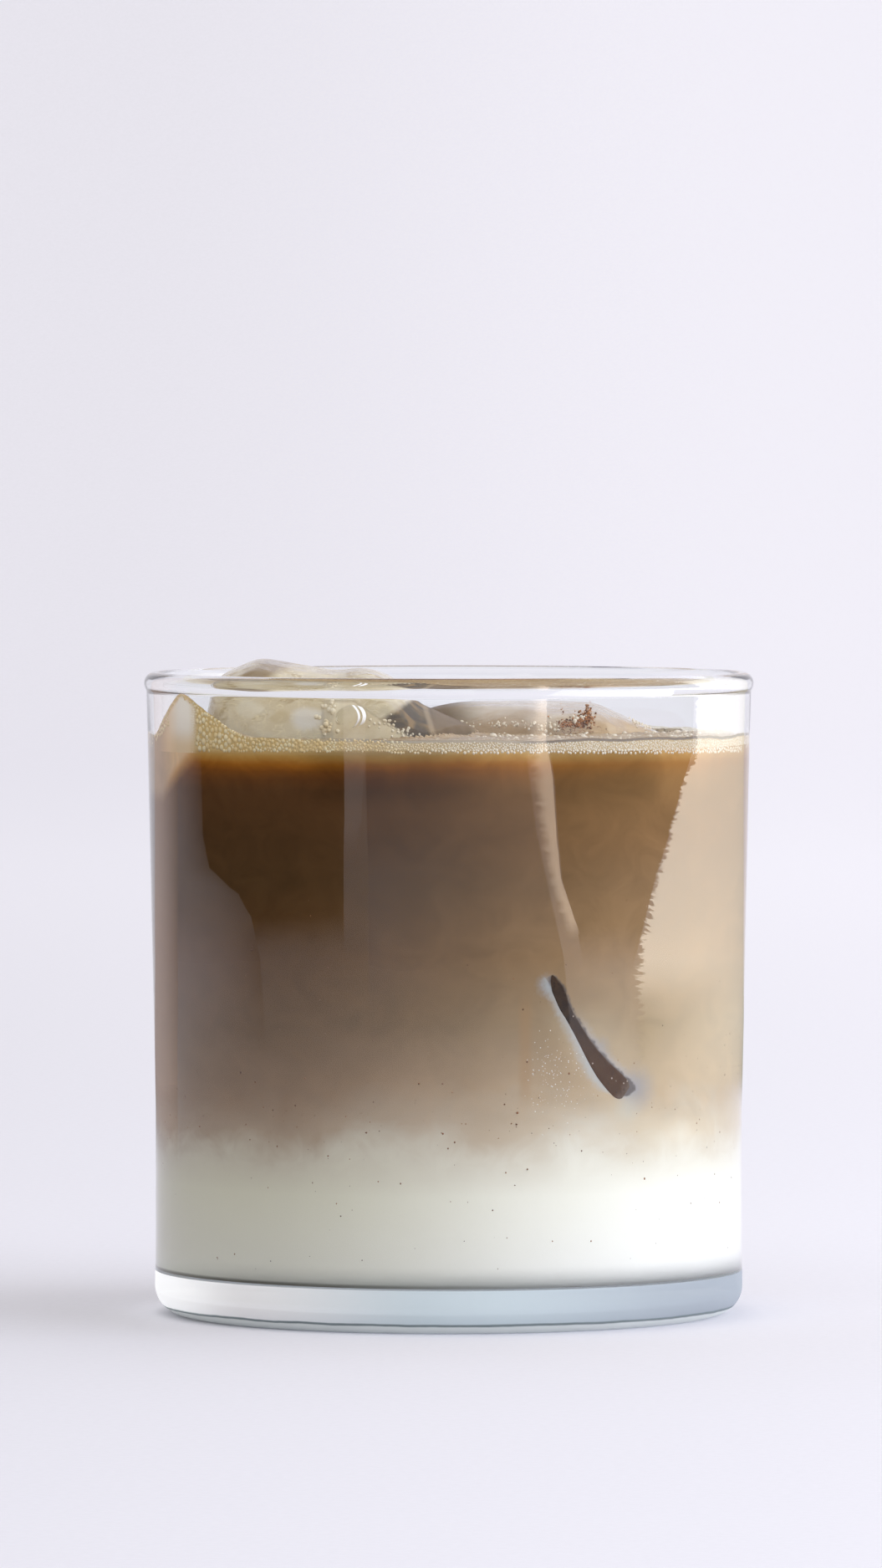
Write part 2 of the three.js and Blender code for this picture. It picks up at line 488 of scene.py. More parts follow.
def glassFinish():
    material, place = startMaterial("clear_glass")
    x, y, z = split(place)
    ripple = noise(place * (1, 1, 0.35), 0.06, detail=2.0)
    even = {"Roughness": 0.0, "IOR": 1.5, "Transmission_Weight": 1.0}
    clear = principled(place, Base_Color=glassTints["clear"], Normal=bump(ripple, 0.00006), **even)
    # painted light that the thick base gathers between milk and foot: pale blue, with a painted glow at the
    # left, and a painted dark line of refraction low on the heel
    radius = root(x * x + y * y)
    outside = radius > tumbler["footRadius"] + 2.5
    wander = z + (noise(place * (1, 1, 2.0), 0.11, detail=3.0) - 0.5) * 0.5
    band = remap(z, tumbler["floor"], tumbler["floor"] - 0.15) * remap(wander, 1.25, 1.5)
    line = remap(wander, 1.0, 1.25) * remap(wander, 1.62, 1.4)
    foot = remap(wander, 1.25, 1.0)
    gathered = mixColor(remap(x, -30.0, -2.0), glassTints["baseLeft"], glassTints["baseMiddle"])
    gathered = mixColor(remap(x, 2.0, 38.0), gathered, glassTints["baseRight"])
    gathered = mixColor(line, gathered, glassTints["baseLine"])
    gathered = mixColor(foot, gathered, glassTints["foot"])
    amount = least(band * 0.8 + line * 0.68 + foot * 0.75, 0.85) * outside
    strength = band * remap(x, -28.0, -41.0, 0.0, 0.42)
    lit = {"Emission_Color": glassTints["baseGlow"], "Emission_Strength": strength}
    glow = principled(place, Base_Color=gathered, Roughness=1.0, Specular_IOR_Level=0.0, **lit)
    return finished(material, letLampsThrough(mixShader(amount, clear, glow), glassTints["shadow"]))


def beadedSide(z, wallSide, beadSide):
    # the wall's side or the bead's, whichever stands out more, with the crease between them rounded
    side = np.maximum(wallSide, beadSide)
    soften(side, 4)
    return np.stack([side, z], axis=1)


def glassProfile():
    # foot with a shallow push-up, round heel, tapered wall, round bead, inner wall, round corner, floor
    size = tumbler
    footRing = np.linspace(0.04, 1, 12)[:, None] * [[size["footRadius"], 0]]
    footRing[:, 1] = size["pushUp"] * (1 - (footRing[:, 0] / size["footRadius"]) ** 2) ** 1.5
    heelAt = (size["heelRadius"] - size["heelRound"], size["heelRound"])
    heel = arc(heelAt, (size["heelRound"], size["heelRound"]), -90, 0, 18)
    low = np.linspace(size["heelRound"] + 1, 85, 56)
    wall = np.stack([outerRadius(low), low], axis=1)
    half = size["beadWidth"] / 2
    beadAt = (size["rimRadius"] - half, size["height"] - size["beadRise"])
    high = np.linspace(85.1, beadAt[1], 36)
    bulge = half * np.sqrt(np.maximum(0, 1 - ((high - beadAt[1]) / size["beadRise"]) ** 2))
    outside = beadedSide(high, outerRadius(high), beadAt[0] + bulge)
    bead = arc(beadAt, (half, size["beadRise"]), 0, 180, 40)[1:-1]
    inside = beadedSide(high, -innerRadius(high), bulge - beadAt[0])[::-1] * [-1, 1]
    low = np.linspace(85, size["floor"] + size["floorRound"], 50)
    insideLow = np.stack([innerRadius(low), low], axis=1)
    cornerAt = innerRadius(size["floor"] + size["floorRound"]) - size["floorRound"]
    cornerMiddle = (cornerAt, size["floor"] + size["floorRound"])
    corner = arc(cornerMiddle, (size["floorRound"], size["floorRound"]), 0, -90, 14)[1:]
    floor = np.stack([np.linspace(cornerAt, 2, 8)[1:], np.full(7, size["floor"])], axis=1)
    return np.concatenate([footRing, heel, wall, outside, bead, inside, insideLow, corner, floor])


def makeGlass():
    grid = turnedGrid(glassProfile(), tumbler["columns"])
    radius = np.hypot(grid[..., 0], grid[..., 1])
    turn = np.arctan2(grid[..., 1], grid[..., 0])
    z = grid[..., 2]
    # drawn glass is never quite even: two slow waves round the wall and one up it
    wave = np.sin(3 * turn + z * 0.11) + np.sin(7 * turn - z * 0.23 + 1.3) * 0.6
    inward = smooth(5, 12, z) * (1 - smooth(82, 86, z)) * smooth(30, 38, radius)
    factor = 1 - tumbler["waviness"] * (1.6 + wave) * inward / np.maximum(radius, 1)
    grid[..., 0] *= factor
    grid[..., 1] *= factor
    poles = [(0, 0, tumbler["pushUp"]), (0, 0, tumbler["floor"])]
    closedPiece("glass_tumbler", grid, poles, glassFinish(), "glass", "glass")


# Forms of the ice

def crestHeight(crest, x):
    # straight runs between the crest points, averaged over a short stretch so that no ridge shows
    at, top = np.array(crest).T
    total = 0
    for step in (-1.2, -0.6, 0.0, 0.6, 1.2):
        total = total + np.interp(x + step, at, top)
    return total / 5


def iceSize(block, dx, dy, dz, ripple=0.0):
    # size of the rounded cube in a direction, with shallow hollows and, where asked, a fine ripple
    power = block["roundness"]
    a, b, c = block["half"]
    total = np.abs(dx / a) ** power + np.abs(dy / b) ** power + np.abs(dz / c) ** power
    hollow = np.sin(dx * 4.1 + block["phase"]) * np.sin(dy * 3.7 - block["phase"]) * np.cos(dz * 3.2)
    fine = np.sin(dx * 13 + 2 * dz) * np.sin(dy * 11 - block["phase"])
    fine = fine + 0.6 * np.sin(dx * 23 + dy * 17) * np.sin(dz * 19)
    return total ** (-1 / power) + block["melt"] * hollow + ripple * fine


def iceGrid(block, rows, columns, ripple=0.12):
    # the rounded cube turned and tipped, its top melted down to the crest
    tilt = np.linspace(np.pi, 0, rows + 2)[1:-1][:, None]
    turn = fullTurn(columns)
    dx = np.sin(tilt) * np.cos(turn)
    dy = np.sin(tilt) * np.sin(turn)
    dz = np.cos(tilt) + 0 * turn
    size = iceSize(block, dx, dy, dz, ripple)
    points = np.stack([dx * size, dy * size, dz * size], axis=-1)
    points = points @ turnMatrix("z", 45).T @ turnMatrix("y", block["tip"]).T
    points = points @ turnMatrix("z", block["plan"]).T + np.array(block["centre"])
    back = points[..., 1] - block["centre"][1]
    top = crestHeight(block["crest"], points[..., 0]) - block["crown"] * back ** 2
    # the lower of block and crest, with a rounded edge where they meet
    under = top - points[..., 2]
    soft = 0.6
    points[..., 2] = top - np.where(under > soft, under, (under + np.sqrt(under ** 2 + soft ** 2)) / 2)
    limit = innerRadius(drink["frothTop"]) - iceWallGap
    reach = np.hypot(points[..., 0], points[..., 1])
    pull = np.minimum(1, limit / np.maximum(reach, 1e-6))
    points[..., 0] *= pull
    points[..., 1] *= pull
    return points


def iceShare(block, x, y, z):
    # distance from the block's centre over its size in that direction: below 1 inside
    apart = np.stack(np.broadcast_arrays(x, y, z), axis=-1) - np.array(block["centre"])
    apart = apart @ turnMatrix("z", block["plan"]) @ turnMatrix("y", block["tip"]) @ turnMatrix("z", 45)
    length = np.maximum(np.linalg.norm(apart, axis=-1), 1e-6)
    way = apart / length[..., None]
    return length / iceSize(block, way[..., 0], way[..., 1], way[..., 2])


def pocketDepth(x, y, level):
    # height of the drink under the ice: halving steps between a low point and the given level
    floor = level + 0 * x
    for block in blocks.values():
        inside = iceShare(block, x, y, level - 1.5) < 1.03
        low = np.full_like(floor, 45.0)
        high = level - 1.5 + 0 * x
        for _ in range(22):
            middle = (low + high) / 2
            within = iceShare(block, x, y, middle) < 1.03
            high = np.where(within, middle, high)
            low = np.where(within, low, middle)
        floor = np.where(inside, np.minimum(floor, high), floor)
    return floor


def turnMatrix(axis, degrees):
    turn = math.radians(degrees)
    c, s = math.cos(turn), math.sin(turn)
    if axis == "z":
        return np.array([[c, -s, 0], [s, c, 0], [0, 0, 1]])
    return np.array([[c, 0, s], [0, 1, 0], [-s, 0, c]])


# Levels inside the glass

def milkSurface(x, y):
    # a level plane that leans up to the right, with one swell and a ripple
    lean = drink["milkSwirl"] * (x / tumbler["waistRadius"])
    swell = drink["milkSwirl"] * np.exp(-((x - 8) ** 2 + (y + 20) ** 2) / 260)
    ripple = 0.45 * np.sin(x * 0.21 + 1.1) * np.cos(y * 0.17 - 0.4)
    return drink["milkLevel"] + 0.5 * lean + swell + ripple


def wallPeak(x, y):
    # a tent over the turn round the wall, steep at the left and longer at the right
    away = np.arctan2(-x, -y) - peak["turn"]
    width = np.where(away > 0, peak["widthLeft"], peak["widthRight"])
    return peak["rise"] * np.maximum(0, 1 - np.abs(away) / width) ** 1.15


def frothUnderside(x):
    return drink["teaTop"] + 0.3 - drink["frothSag"] * 0.5 * (1 - x / tumbler["waistRadius"])


def frothSurface(x, y):
    # flat, creeping up the wall and round the ice, climbing in the peak, down in the pockets under the ice
    reach = np.hypot(x, y) / innerRadius(drink["frothTop"])
    hug = np.maximum(0, 1 - (1 - reach) / peak["climbDepth"]) ** 2
    waves = 0.18 * np.sin(x * 0.37 + 0.5) * np.sin(y * 0.43 - 1.2)
    fine = 0.07 * np.sin(x * 2.1 + 1.7 * np.sin(y * 1.3)) * np.sin(y * 2.4 + 1.3 * np.sin(x * 1.6))
    top = drink["frothTop"] + waves + fine + hug * (0.25 + wallPeak(x, y))
    nearest = np.minimum(*[iceShare(block, x, y, top) for block in blocks.values()])
    rim = 0.7 * np.exp(-((nearest - 1.0) / 0.05) ** 2) * (1 - smooth(0.93, 1.0, reach))
    pocket = pocketDepth(x, y, frothUnderside(x)) + 0.06
    return np.where(pocket < frothUnderside(x) - 0.5, pocket, top + rim)


def teaSurface(x, y):
    return pocketDepth(x, y, frothUnderside(x)) - 0.06


def middleOf(surface):
    # the surface's point on the glass's axis
    return 0, 0, surface(np.zeros(1), np.zeros(1))[0]


def drinkWall(z):
    return innerRadius(z) + drink["intoWall"]


def layerGrid(lower, upper, lowerShares, wallRows, upperShares):
    # a disc's rings out along the lower surface, up the wall and back in along the upper surface
    turn = fullTurn(drink["columns"])
    nominal = drinkWall(drink["frothTop"])
    shares = np.concatenate([lowerShares, np.ones(wallRows), upperShares])[:, None]
    climb = np.linspace(0, 1, wallRows + 2)[1:-1]
    lift = np.concatenate([np.zeros(len(lowerShares)), climb, np.ones(len(upperShares))])[:, None]
    x = shares * nominal * np.cos(turn)
    y = shares * nominal * np.sin(turn)
    z = lower(x, y) * (1 - lift) + upper(x, y) * lift
    squeeze = drinkWall(z) / nominal
    return np.stack([x * squeeze, y * squeeze, z], axis=-1)


# Drink colours by height: (height in mm, colour where the light comes in, colour on the shaded side)
teaColors = (
    (6.0, (0.94, 0.93, 0.88), (0.89, 0.88, 0.78)),
    (19.0, (0.90, 0.89, 0.80), (0.80, 0.78, 0.63)),
    (23.5, (0.79, 0.76, 0.65), (0.68, 0.63, 0.51)),
    (28.0, (0.65, 0.565, 0.425), (0.46, 0.35, 0.25)),
    (34.0, (0.50, 0.385, 0.245), (0.34, 0.23, 0.145)),
    (42.0, (0.40, 0.30, 0.175), (0.21, 0.13, 0.07)),
    (52.0, (0.355, 0.232, 0.118), (0.155, 0.078, 0.030)),
    (62.0, (0.31, 0.195, 0.098), (0.114, 0.060, 0.023)),
    (68.0, (0.29, 0.17, 0.077), (0.112, 0.056, 0.0215)),
    (75.0, (0.285, 0.162, 0.065), (0.13, 0.060, 0.0225)),
    (76.5, (0.29, 0.162, 0.062), (0.165, 0.066, 0.020)),
    (77.6, (0.30, 0.16, 0.057), (0.24, 0.085, 0.0165)),
    (78.6, (0.31, 0.155, 0.05), (0.40, 0.145, 0.018)),
    (79.5, (0.40, 0.225, 0.08), (0.55, 0.30, 0.075)),
    (80.2, (0.44, 0.27, 0.105), (0.62, 0.41, 0.155)),
)


def sunkLine():
    # the sunk edge's middle line on the wall, in millimetres
    radius = innerRadius(sunkEdge["level"])
    return photoPoint(*np.array(sunkEdge["line"]).T, radius)


def nearSegment(place, start, end):
    # distance from here to the nearest point of a straight line between two points
    along = end - start
    fromStart = place - tuple(start)
    reach = dotProduct(fromStart, tuple(along / np.dot(along, along)))
    share = least(most(reach, 0.0), 1.0)
    return distance(fromStart, scaled(share, tuple(along), share))


def drinkColor(level, x, cloud):
    # one ramp up the height for each side, blended from the shaded left to the lit right, later higher up
    span = teaColors[-1][0] - teaColors[0][0]
    share = (level - teaColors[0][0]) / span
    lit = colorRamp(share, [((height - teaColors[0][0]) / span, bright) for height, bright, _ in teaColors])
    shaded = colorRamp(share, [((height - teaColors[0][0]) / span, dark) for height, _, dark in teaColors])
    side = x + (cloud - 0.5) * 10.0 - remap(level, 50.0, 66.0, 0.0, 10.0)
    color = mixColor(remap(side, -30.0, 34.0), shaded, lit)
    # high up it is darker in two places and paler between and beyond them
    near = remap(abs(x + 9.0), 14.0, 6.0, 0.0, -0.32)
    right = remap(abs(x - 20.0), 9.0, 5.0, 0.0, -0.24)
    pale = remap(abs(x - 32.0), 4.5, 1.5, 0.0, 0.16)
    middle = remap(abs(x - 9.5), 4.0, 1.0, 0.0, 0.08)
    change = (near + right + (pale + middle)) * remap(level, 71.0, 76.0) + 1.0
    return color * fromThree(change, change, change)


# Tints: the glow under the froth's peak
glowTints = {
    "low": (0.74, 0.40, 0.13),
    "high": (0.86, 0.61, 0.35),
    "farLeft": (0.46, 0.33, 0.21),
}


def peakGlow(color, turn, z):
    # pale glow at the left under the froth's peak, reaching lower the farther round it is
    height = z + (least(turn, 1.28) - 1.02) * 23.0
    share = remap(turn, 0.98, 1.06) * remap(height, 77.9, 81.0, 0.0, 0.95) * remap(turn, 1.9, 1.5)
    glow = mixColor(remap(height, 79.6, 81.6), glowTints["low"], glowTints["high"])
    glow = mixColor(remap(turn, 1.15, 1.3), glow, glowTints["farLeft"])
    return mixColor(share, color, glow)


def slowClouds(place):
    # the clouds in which milk and tea meet
    return noise(place * (1, 1, 1.5), 0.05, detail=3.0, roughness=0.5, distortion=0.6)


# Tints: specks, the painted shade of the milk's edge at the bottom corner, and what lies round the sunk block
drinkTints = {
    "speck": (0.10, 0.045, 0.02),
    "corner": (0.13, 0.12, 0.06),
    "sandy": (0.62, 0.52, 0.36),
    "streak": (0.40, 0.24, 0.11),
    "haloRight": (0.44, 0.44, 0.45),
    "haloLeft": (0.50, 0.53, 0.53),
    "shadeAtIce": (0.11, 0.095, 0.09),
}


def drinkFinish(name):
    material, place = startMaterial(name)
    x, y, z = split(place)
    # the height at which the colour is read is pushed up and down by slow clouds and finer wisps
    cloud = slowClouds(place)
    wisps = noise(place * (1, 1, 1.3), 0.15, detail=5.0, roughness=0.6, distortion=1.0)
    sway = (cloud - 0.5) * 13.0
    flick = (wisps - 0.5) * 6.0
    depth = remap(z, 58.0, 30.0, 0.1, 1.0)
    calmBelow = remap(z, 19.0, 26.0, 0.0, 1.0)
    level = z + (sway + flick) * depth * calmBelow
    color = drinkColor(level, x, cloud)
    turn = frontTurn(x, y)
    color = peakGlow(color, turn, z)
    # faint mottling in the tea, none in the milk
    tone = (wisps - 0.5) * remap(z, 24.0, 32.0, 0.0, 0.5) + 1.0
    color = color * fromThree(tone, tone, tone)
    # fine tea specks, thickest where the tea starts to thin
    grain = cells(place, 1.3)
    pick = split(grain["Color"])[0]
    crowd = remap(z, 23.0, 31.0, 0.012, 0.16) * remap(z, 58.0, 38.0, 0.12, 1.0)
    core = remap(grain["Distance"], 0.13, 0.05)
    color = mixColor((pick < crowd) * core * 0.55, color, drinkTints["speck"])
    # painted shade along the milk's edge at the bottom corner, olive-brown at the shaded left and thin
    # greenish at the right
    edge = remap(z, 6.95, 6.45) * remap(x, 26.0, -30.0, 0.0, 0.85)
    color = mixColor(edge, color, drinkTints["corner"])
    # halo where the sunk block's edge presses on the glass: crisp at its left, softer at its right
    line = sunkLine()
    gap = nearSegment(place, line[0], line[1])
    for start, end in zip(line[1:-1], line[2:]):
        gap = least(gap, nearSegment(place, start, end))
    along = line[-1] - line[0]
    toRight = np.cross(along, (line[2][0], line[2][1], 0))
    toRight = toRight * np.sign(toRight[0]) / np.linalg.norm(toRight)
    offset = dotProduct(place - tuple(line[2]), tuple(toRight))
    atRight = offset > 0.0
    shareDown = (float(line[0][2]) - z) / float(line[0][2] - line[-1][2])
    beyond = gap - fromCurve(shareDown, sunkEdge["halfWidth"], 2.0)
    sandy = remap(gap, 9.0, 2.0) * remap(offset, -4.5, -1.5, 0.0, 0.3) * remap(z, 47.0, 41.0)
    color = mixColor(sandy, color, drinkTints["sandy"])
    # a faint streak in the tea under its middle
    streak = remap(abs(x - 10.3), 1.3, 0.2) * remap(z, 30.0, 36.0, 0.0, 0.4) * remap(z, 48.0, 44.0)
    color = mixColor(streak, color, drinkTints["streak"])
    # pale blue at its left and round its upper end, grey at its right and wider towards its foot
    uneven = (noise(place, 1.6, detail=3.0) - 0.5) * 1.1
    ragged = beyond + uneven
    crisp = remap(ragged, 1.5, -0.3) * (1.0 - atRight)
    softer = remap(ragged, 1.7, -0.2) * atRight * remap(shareDown, 0.25, 0.6, 0.0, 0.8)
    color = mixColor(softer, color, drinkTints["haloRight"])
    color = mixColor(crisp * 0.85, color, drinkTints["haloLeft"])
    for spot, reach, amount, tint in sunkSpots:
        middle = photoPoint(*spot, innerRadius(sunkEdge["level"]))
        apart = distance(place, tuple(middle)) + uneven
        color = mixColor(remap(apart, reach, 0.0, 0.0, amount), color, tint)
    # painted shade right at the ice: dark and blurred, as the shaded drink seen through clear ice
    blur = remap(ragged, 0.5, -0.05) * remap(offset, -0.4, 0.4, 0.0, 0.85)
    color = mixColor(blur, color, drinkTints["shadeAtIce"])
    shader = principled(place, Base_Color=color, Roughness=0.5, IOR=1.34, Specular_IOR_Level=0.05)
    return finished(material, shader)


def makeMilkAndTea():
    size = tumbler
    cornerAt = innerRadius(size["floor"] + size["floorRound"]) - size["floorRound"]
    bend = size["floorRound"] + drink["intoWall"]
    low = np.stack([np.linspace(2, cornerAt, 8)[:-1], np.full(7, size["floor"] - drink["intoWall"])], axis=1)
    corner = arc((cornerAt, size["floor"] + size["floorRound"]), (bend, bend), -90, 0, 12)
    lowGrid = turnedGrid(np.concatenate([low, corner]), drink["columns"])
    above = size["floor"] + size["floorRound"] + 0.5
    upper = layerGrid(lambda x, y: above, milkSurface, [], 20, np.linspace(1, 0.05, 14))
    milk = np.concatenate([lowGrid, upper])
    poles = [(0, 0, size["floor"] - drink["intoWall"]), middleOf(milkSurface)]
    closedPiece("milk_layer", milk, poles, drinkFinish("milk"), "milk", "milk")
    tea = layerGrid(milkSurface, teaSurface, np.linspace(0.05, 1, 14), 120, np.linspace(1, 0.02, 120))
    poles = [middleOf(milkSurface), middleOf(teaSurface)]
    closedPiece("tea_layer", tea, poles, drinkFinish("hojicha_tea"), "tea", "hojicha_latte")


def bubbleCells(flat, perMm):
    # round cells on the wall: share of dark outline, and of the glint at each cell's upper left
    cell = cells(flat, perMm, dimensions="2D")
    edge = cells(flat, perMm, "DISTANCE_TO_EDGE", "2D")
    glintAt = (-0.08 / perMm, 0.14 / perMm, 0.0)
    away = distance(flat - cell["Position"], glintAt)
    return remap(edge["Distance"], 0.14, 0.03), remap(away, 0.24 / perMm, 0.06 / perMm)


# Tints: the band on the wall, its bubbles, the painted reflection in its wet line, its pale window, and the
# open froth on top
frothTints = {
    "goldDark": (0.80, 0.60, 0.28),
    "goldLight": (0.92, 0.76, 0.44),
    "cream": (0.56, 0.45, 0.29),
    "outline": (0.62, 0.44, 0.20),
    "glint": (1.0, 0.97, 0.88),
    "coarse": (0.66, 0.47, 0.19),
    "wetLineReflectLeft": (0.52, 0.45, 0.36),
    "wetLineReflectRight": (0.22, 0.19, 0.17),
    "windowLow": (0.88, 0.68, 0.42),
    "windowHigh": (1.0, 0.94, 0.82),
    "topDark": (0.30, 0.19, 0.085),
    "topLight": (0.40, 0.27, 0.13),
    "topBubble": (0.58, 0.44, 0.25),
    "creeping": (0.80, 0.74, 0.62),
}


def frothFinish():
    material, place = startMaterial("froth")
    x, y, z = split(place)
    deep = measured(place, "wallDepth")     # how far under the froth's upper edge, on the wall only
    onWall = remap(deep, 0.0, 0.05)
    turn = frontTurn(x, y)
    flat = fromThree(turn * 40.0, z)
    patches = noise(place, 0.13, detail=4.0)
    cloud = slowClouds(place)
    # the band on the wall: golden at the left, cream at the right, in fine cells
    gold = mottled(patches, frothTints["goldDark"], frothTints["goldLight"])
    color = mixColor(remap(x, -30.0, 10.0), gold, frothTints["cream"])
    outline, glint = bubbleCells(flat, 3.0)
    color = mixColor(outline * 0.5, color, frothTints["outline"])
    color = mixColor(glint * 0.5, color, frothTints["glint"])
    # between the large bubbles at the left it is darker
    coarse = remap(turn, 0.35, 0.75)
    color = mixColor(coarse * 0.8, color, frothTints["coarse"])
    # lower edge, uneven by the cells, into the tea
    lowEdge = x * x * (0.35 / 900) + z + (outline - 0.4) * 0.25
    color = mixColor(remap(lowEdge, 80.75, 80.35), color, drinkColor(z, x, cloud))
    color = peakGlow(color, turn - 0.03, z)
    # the wet line on top, its colour a painted reflection: dark at the right and silvery elsewhere
    line = remap(deep, 0.46, 0.30) * (deep > 0.0) * remap(turn, 0.55, 0.35)
    wet = mixColor(remap(x, 8.0, 13.0), frothTints["wetLineReflectLeft"], frothTints["wetLineReflectRight"])
    color = mixColor(line * 0.85, color, wet)
    # pale patch in the peak, where the ice touches the glass
    off = turn - peak["turn"]
    ragged = off + (patches - 0.5) * 0.05 + (0.4 - outline) * 0.035
    window = remap(off, 0.17, 0.0) * remap(ragged, -0.09, -0.055) * remap(deep, 0.3, 1.2)
    pale = mixColor(remap(z, 80.3, 83.5), frothTints["windowLow"], frothTints["windowHigh"])
    color = mixColor(window * 0.95, color, pale)
    # the open froth on top: brown with pale fine bubbles
    foam = cells(place, 2.2, "SMOOTH_F1")
    top = mottled(patches, frothTints["topDark"], frothTints["topLight"])
    top = mixColor(remap(foam["Distance"], 0.5, 0.2, 0.0, 0.5), top, frothTints["topBubble"])
    # thin and pale where it creeps up the glass, away from the front
    reach = root(x * x + y * y)
    thin = remap(reach, 34.0, 38.5, 0.0, 0.85) * remap(y, -20.0, 5.0)
    top = mixColor(thin, top, frothTints["creeping"])
    color = mixColor(onWall, top, color)
    rough = bump(foam["Distance"] * (onWall - 1.0), 0.0003, 0.6)
    wet = {"Roughness": 0.3, "IOR": 1.34, "Specular_IOR_Level": 0.4}
    return finished(material, principled(place, Base_Color=color, Normal=rough, **wet))


def makeFroth():
    shares = 1 - np.linspace(0, 1, 110) ** 1.35 * 0.985
    lowRows, wallRows = 120, 30
    grid = layerGrid(teaSurface, frothSurface, np.linspace(0.02, 1, lowRows), wallRows, shares)
    poles = [middleOf(teaSurface), middleOf(frothSurface)]
    froth = closedPiece("froth_layer", grid, poles, frothFinish(), "froth", "froth")
    # depth under the froth's upper edge, for the points on the wall
    depth = np.zeros(grid.shape[:2])
    wall = slice(lowRows - 1, lowRows + wallRows)
    depth[wall] = grid[lowRows + wallRows, :, 2] - grid[wall, :, 2]
    keepValues(froth, "wallDepth", np.concatenate([[0.0], depth.ravel(), [0.0]]))


# Ice

iceLook = {
    "clear": 0.34,                      # share of light that goes through
    "filmLine": (85.2, -10.3, -0.69),   # top of the froth film on the left block: height, x and slope
    "shadeLine": (-11.2, 83.8, 1.72),   # left edge of its dark right face: x, height and slope
    "stainTop": 84.2,                   # brown stain on the right block
}


def slantFrom(along, up, line):
    # how far "along" lies beyond a slanting line: its start, plus the slope times the way up from a place
    start, place, slope = line
    return along - ((up - place) * slope + start)


# Paler and browner places in the ice: x and z, reach in mm, amount and colour
icePatches = (
    (-19.4, 84.6, 2.6, 0.8, (1.0, 0.99, 0.94)),
    (-27.4, 85.9, 1.7, 0.55, (1.0, 0.95, 0.78)),
    (-23.2, 84.7, 1.5, 0.5, (0.66, 0.53, 0.30)),
    (-16.0, 84.8, 1.1, 0.4, (0.62, 0.50, 0.30)),
    (-7.8, 85.9, 1.9, 0.6, (0.58, 0.49, 0.32)),
    (12.0, 84.6, 2.6, 0.6, (1.0, 0.97, 0.90)),
)


# Tints: the ice in pairs of soft patches, its marks, its stain, the painted shade of its dark face and the
# froth on it
iceTints = {
    "milkyDark": (0.78, 0.66, 0.42),
    "milkyLight": (0.92, 0.86, 0.69),
    "highDark": (0.66, 0.56, 0.39),
    "highLight": (0.84, 0.76, 0.57),
    "blotch": (0.52, 0.39, 0.20),
    "vein": (1.0, 0.90, 0.62),
    "fold": (0.30, 0.22, 0.145),
    "pinkDark": (0.72, 0.58, 0.44),
    "pinkLight": (0.90, 0.80, 0.68),
    "stain": (0.58, 0.38, 0.17),
    "faceDark": (0.035, 0.020, 0.010),
    "faceLight": (0.19, 0.115, 0.045),
    "faceRight": (0.135, 0.08, 0.035),
    "faceFold": (0.36, 0.27, 0.17),
    "frothDark": (0.66, 0.55, 0.35),
    "frothLight": (0.84, 0.76, 0.58),
    "shadow": (0.8, 0.79, 0.75),
}


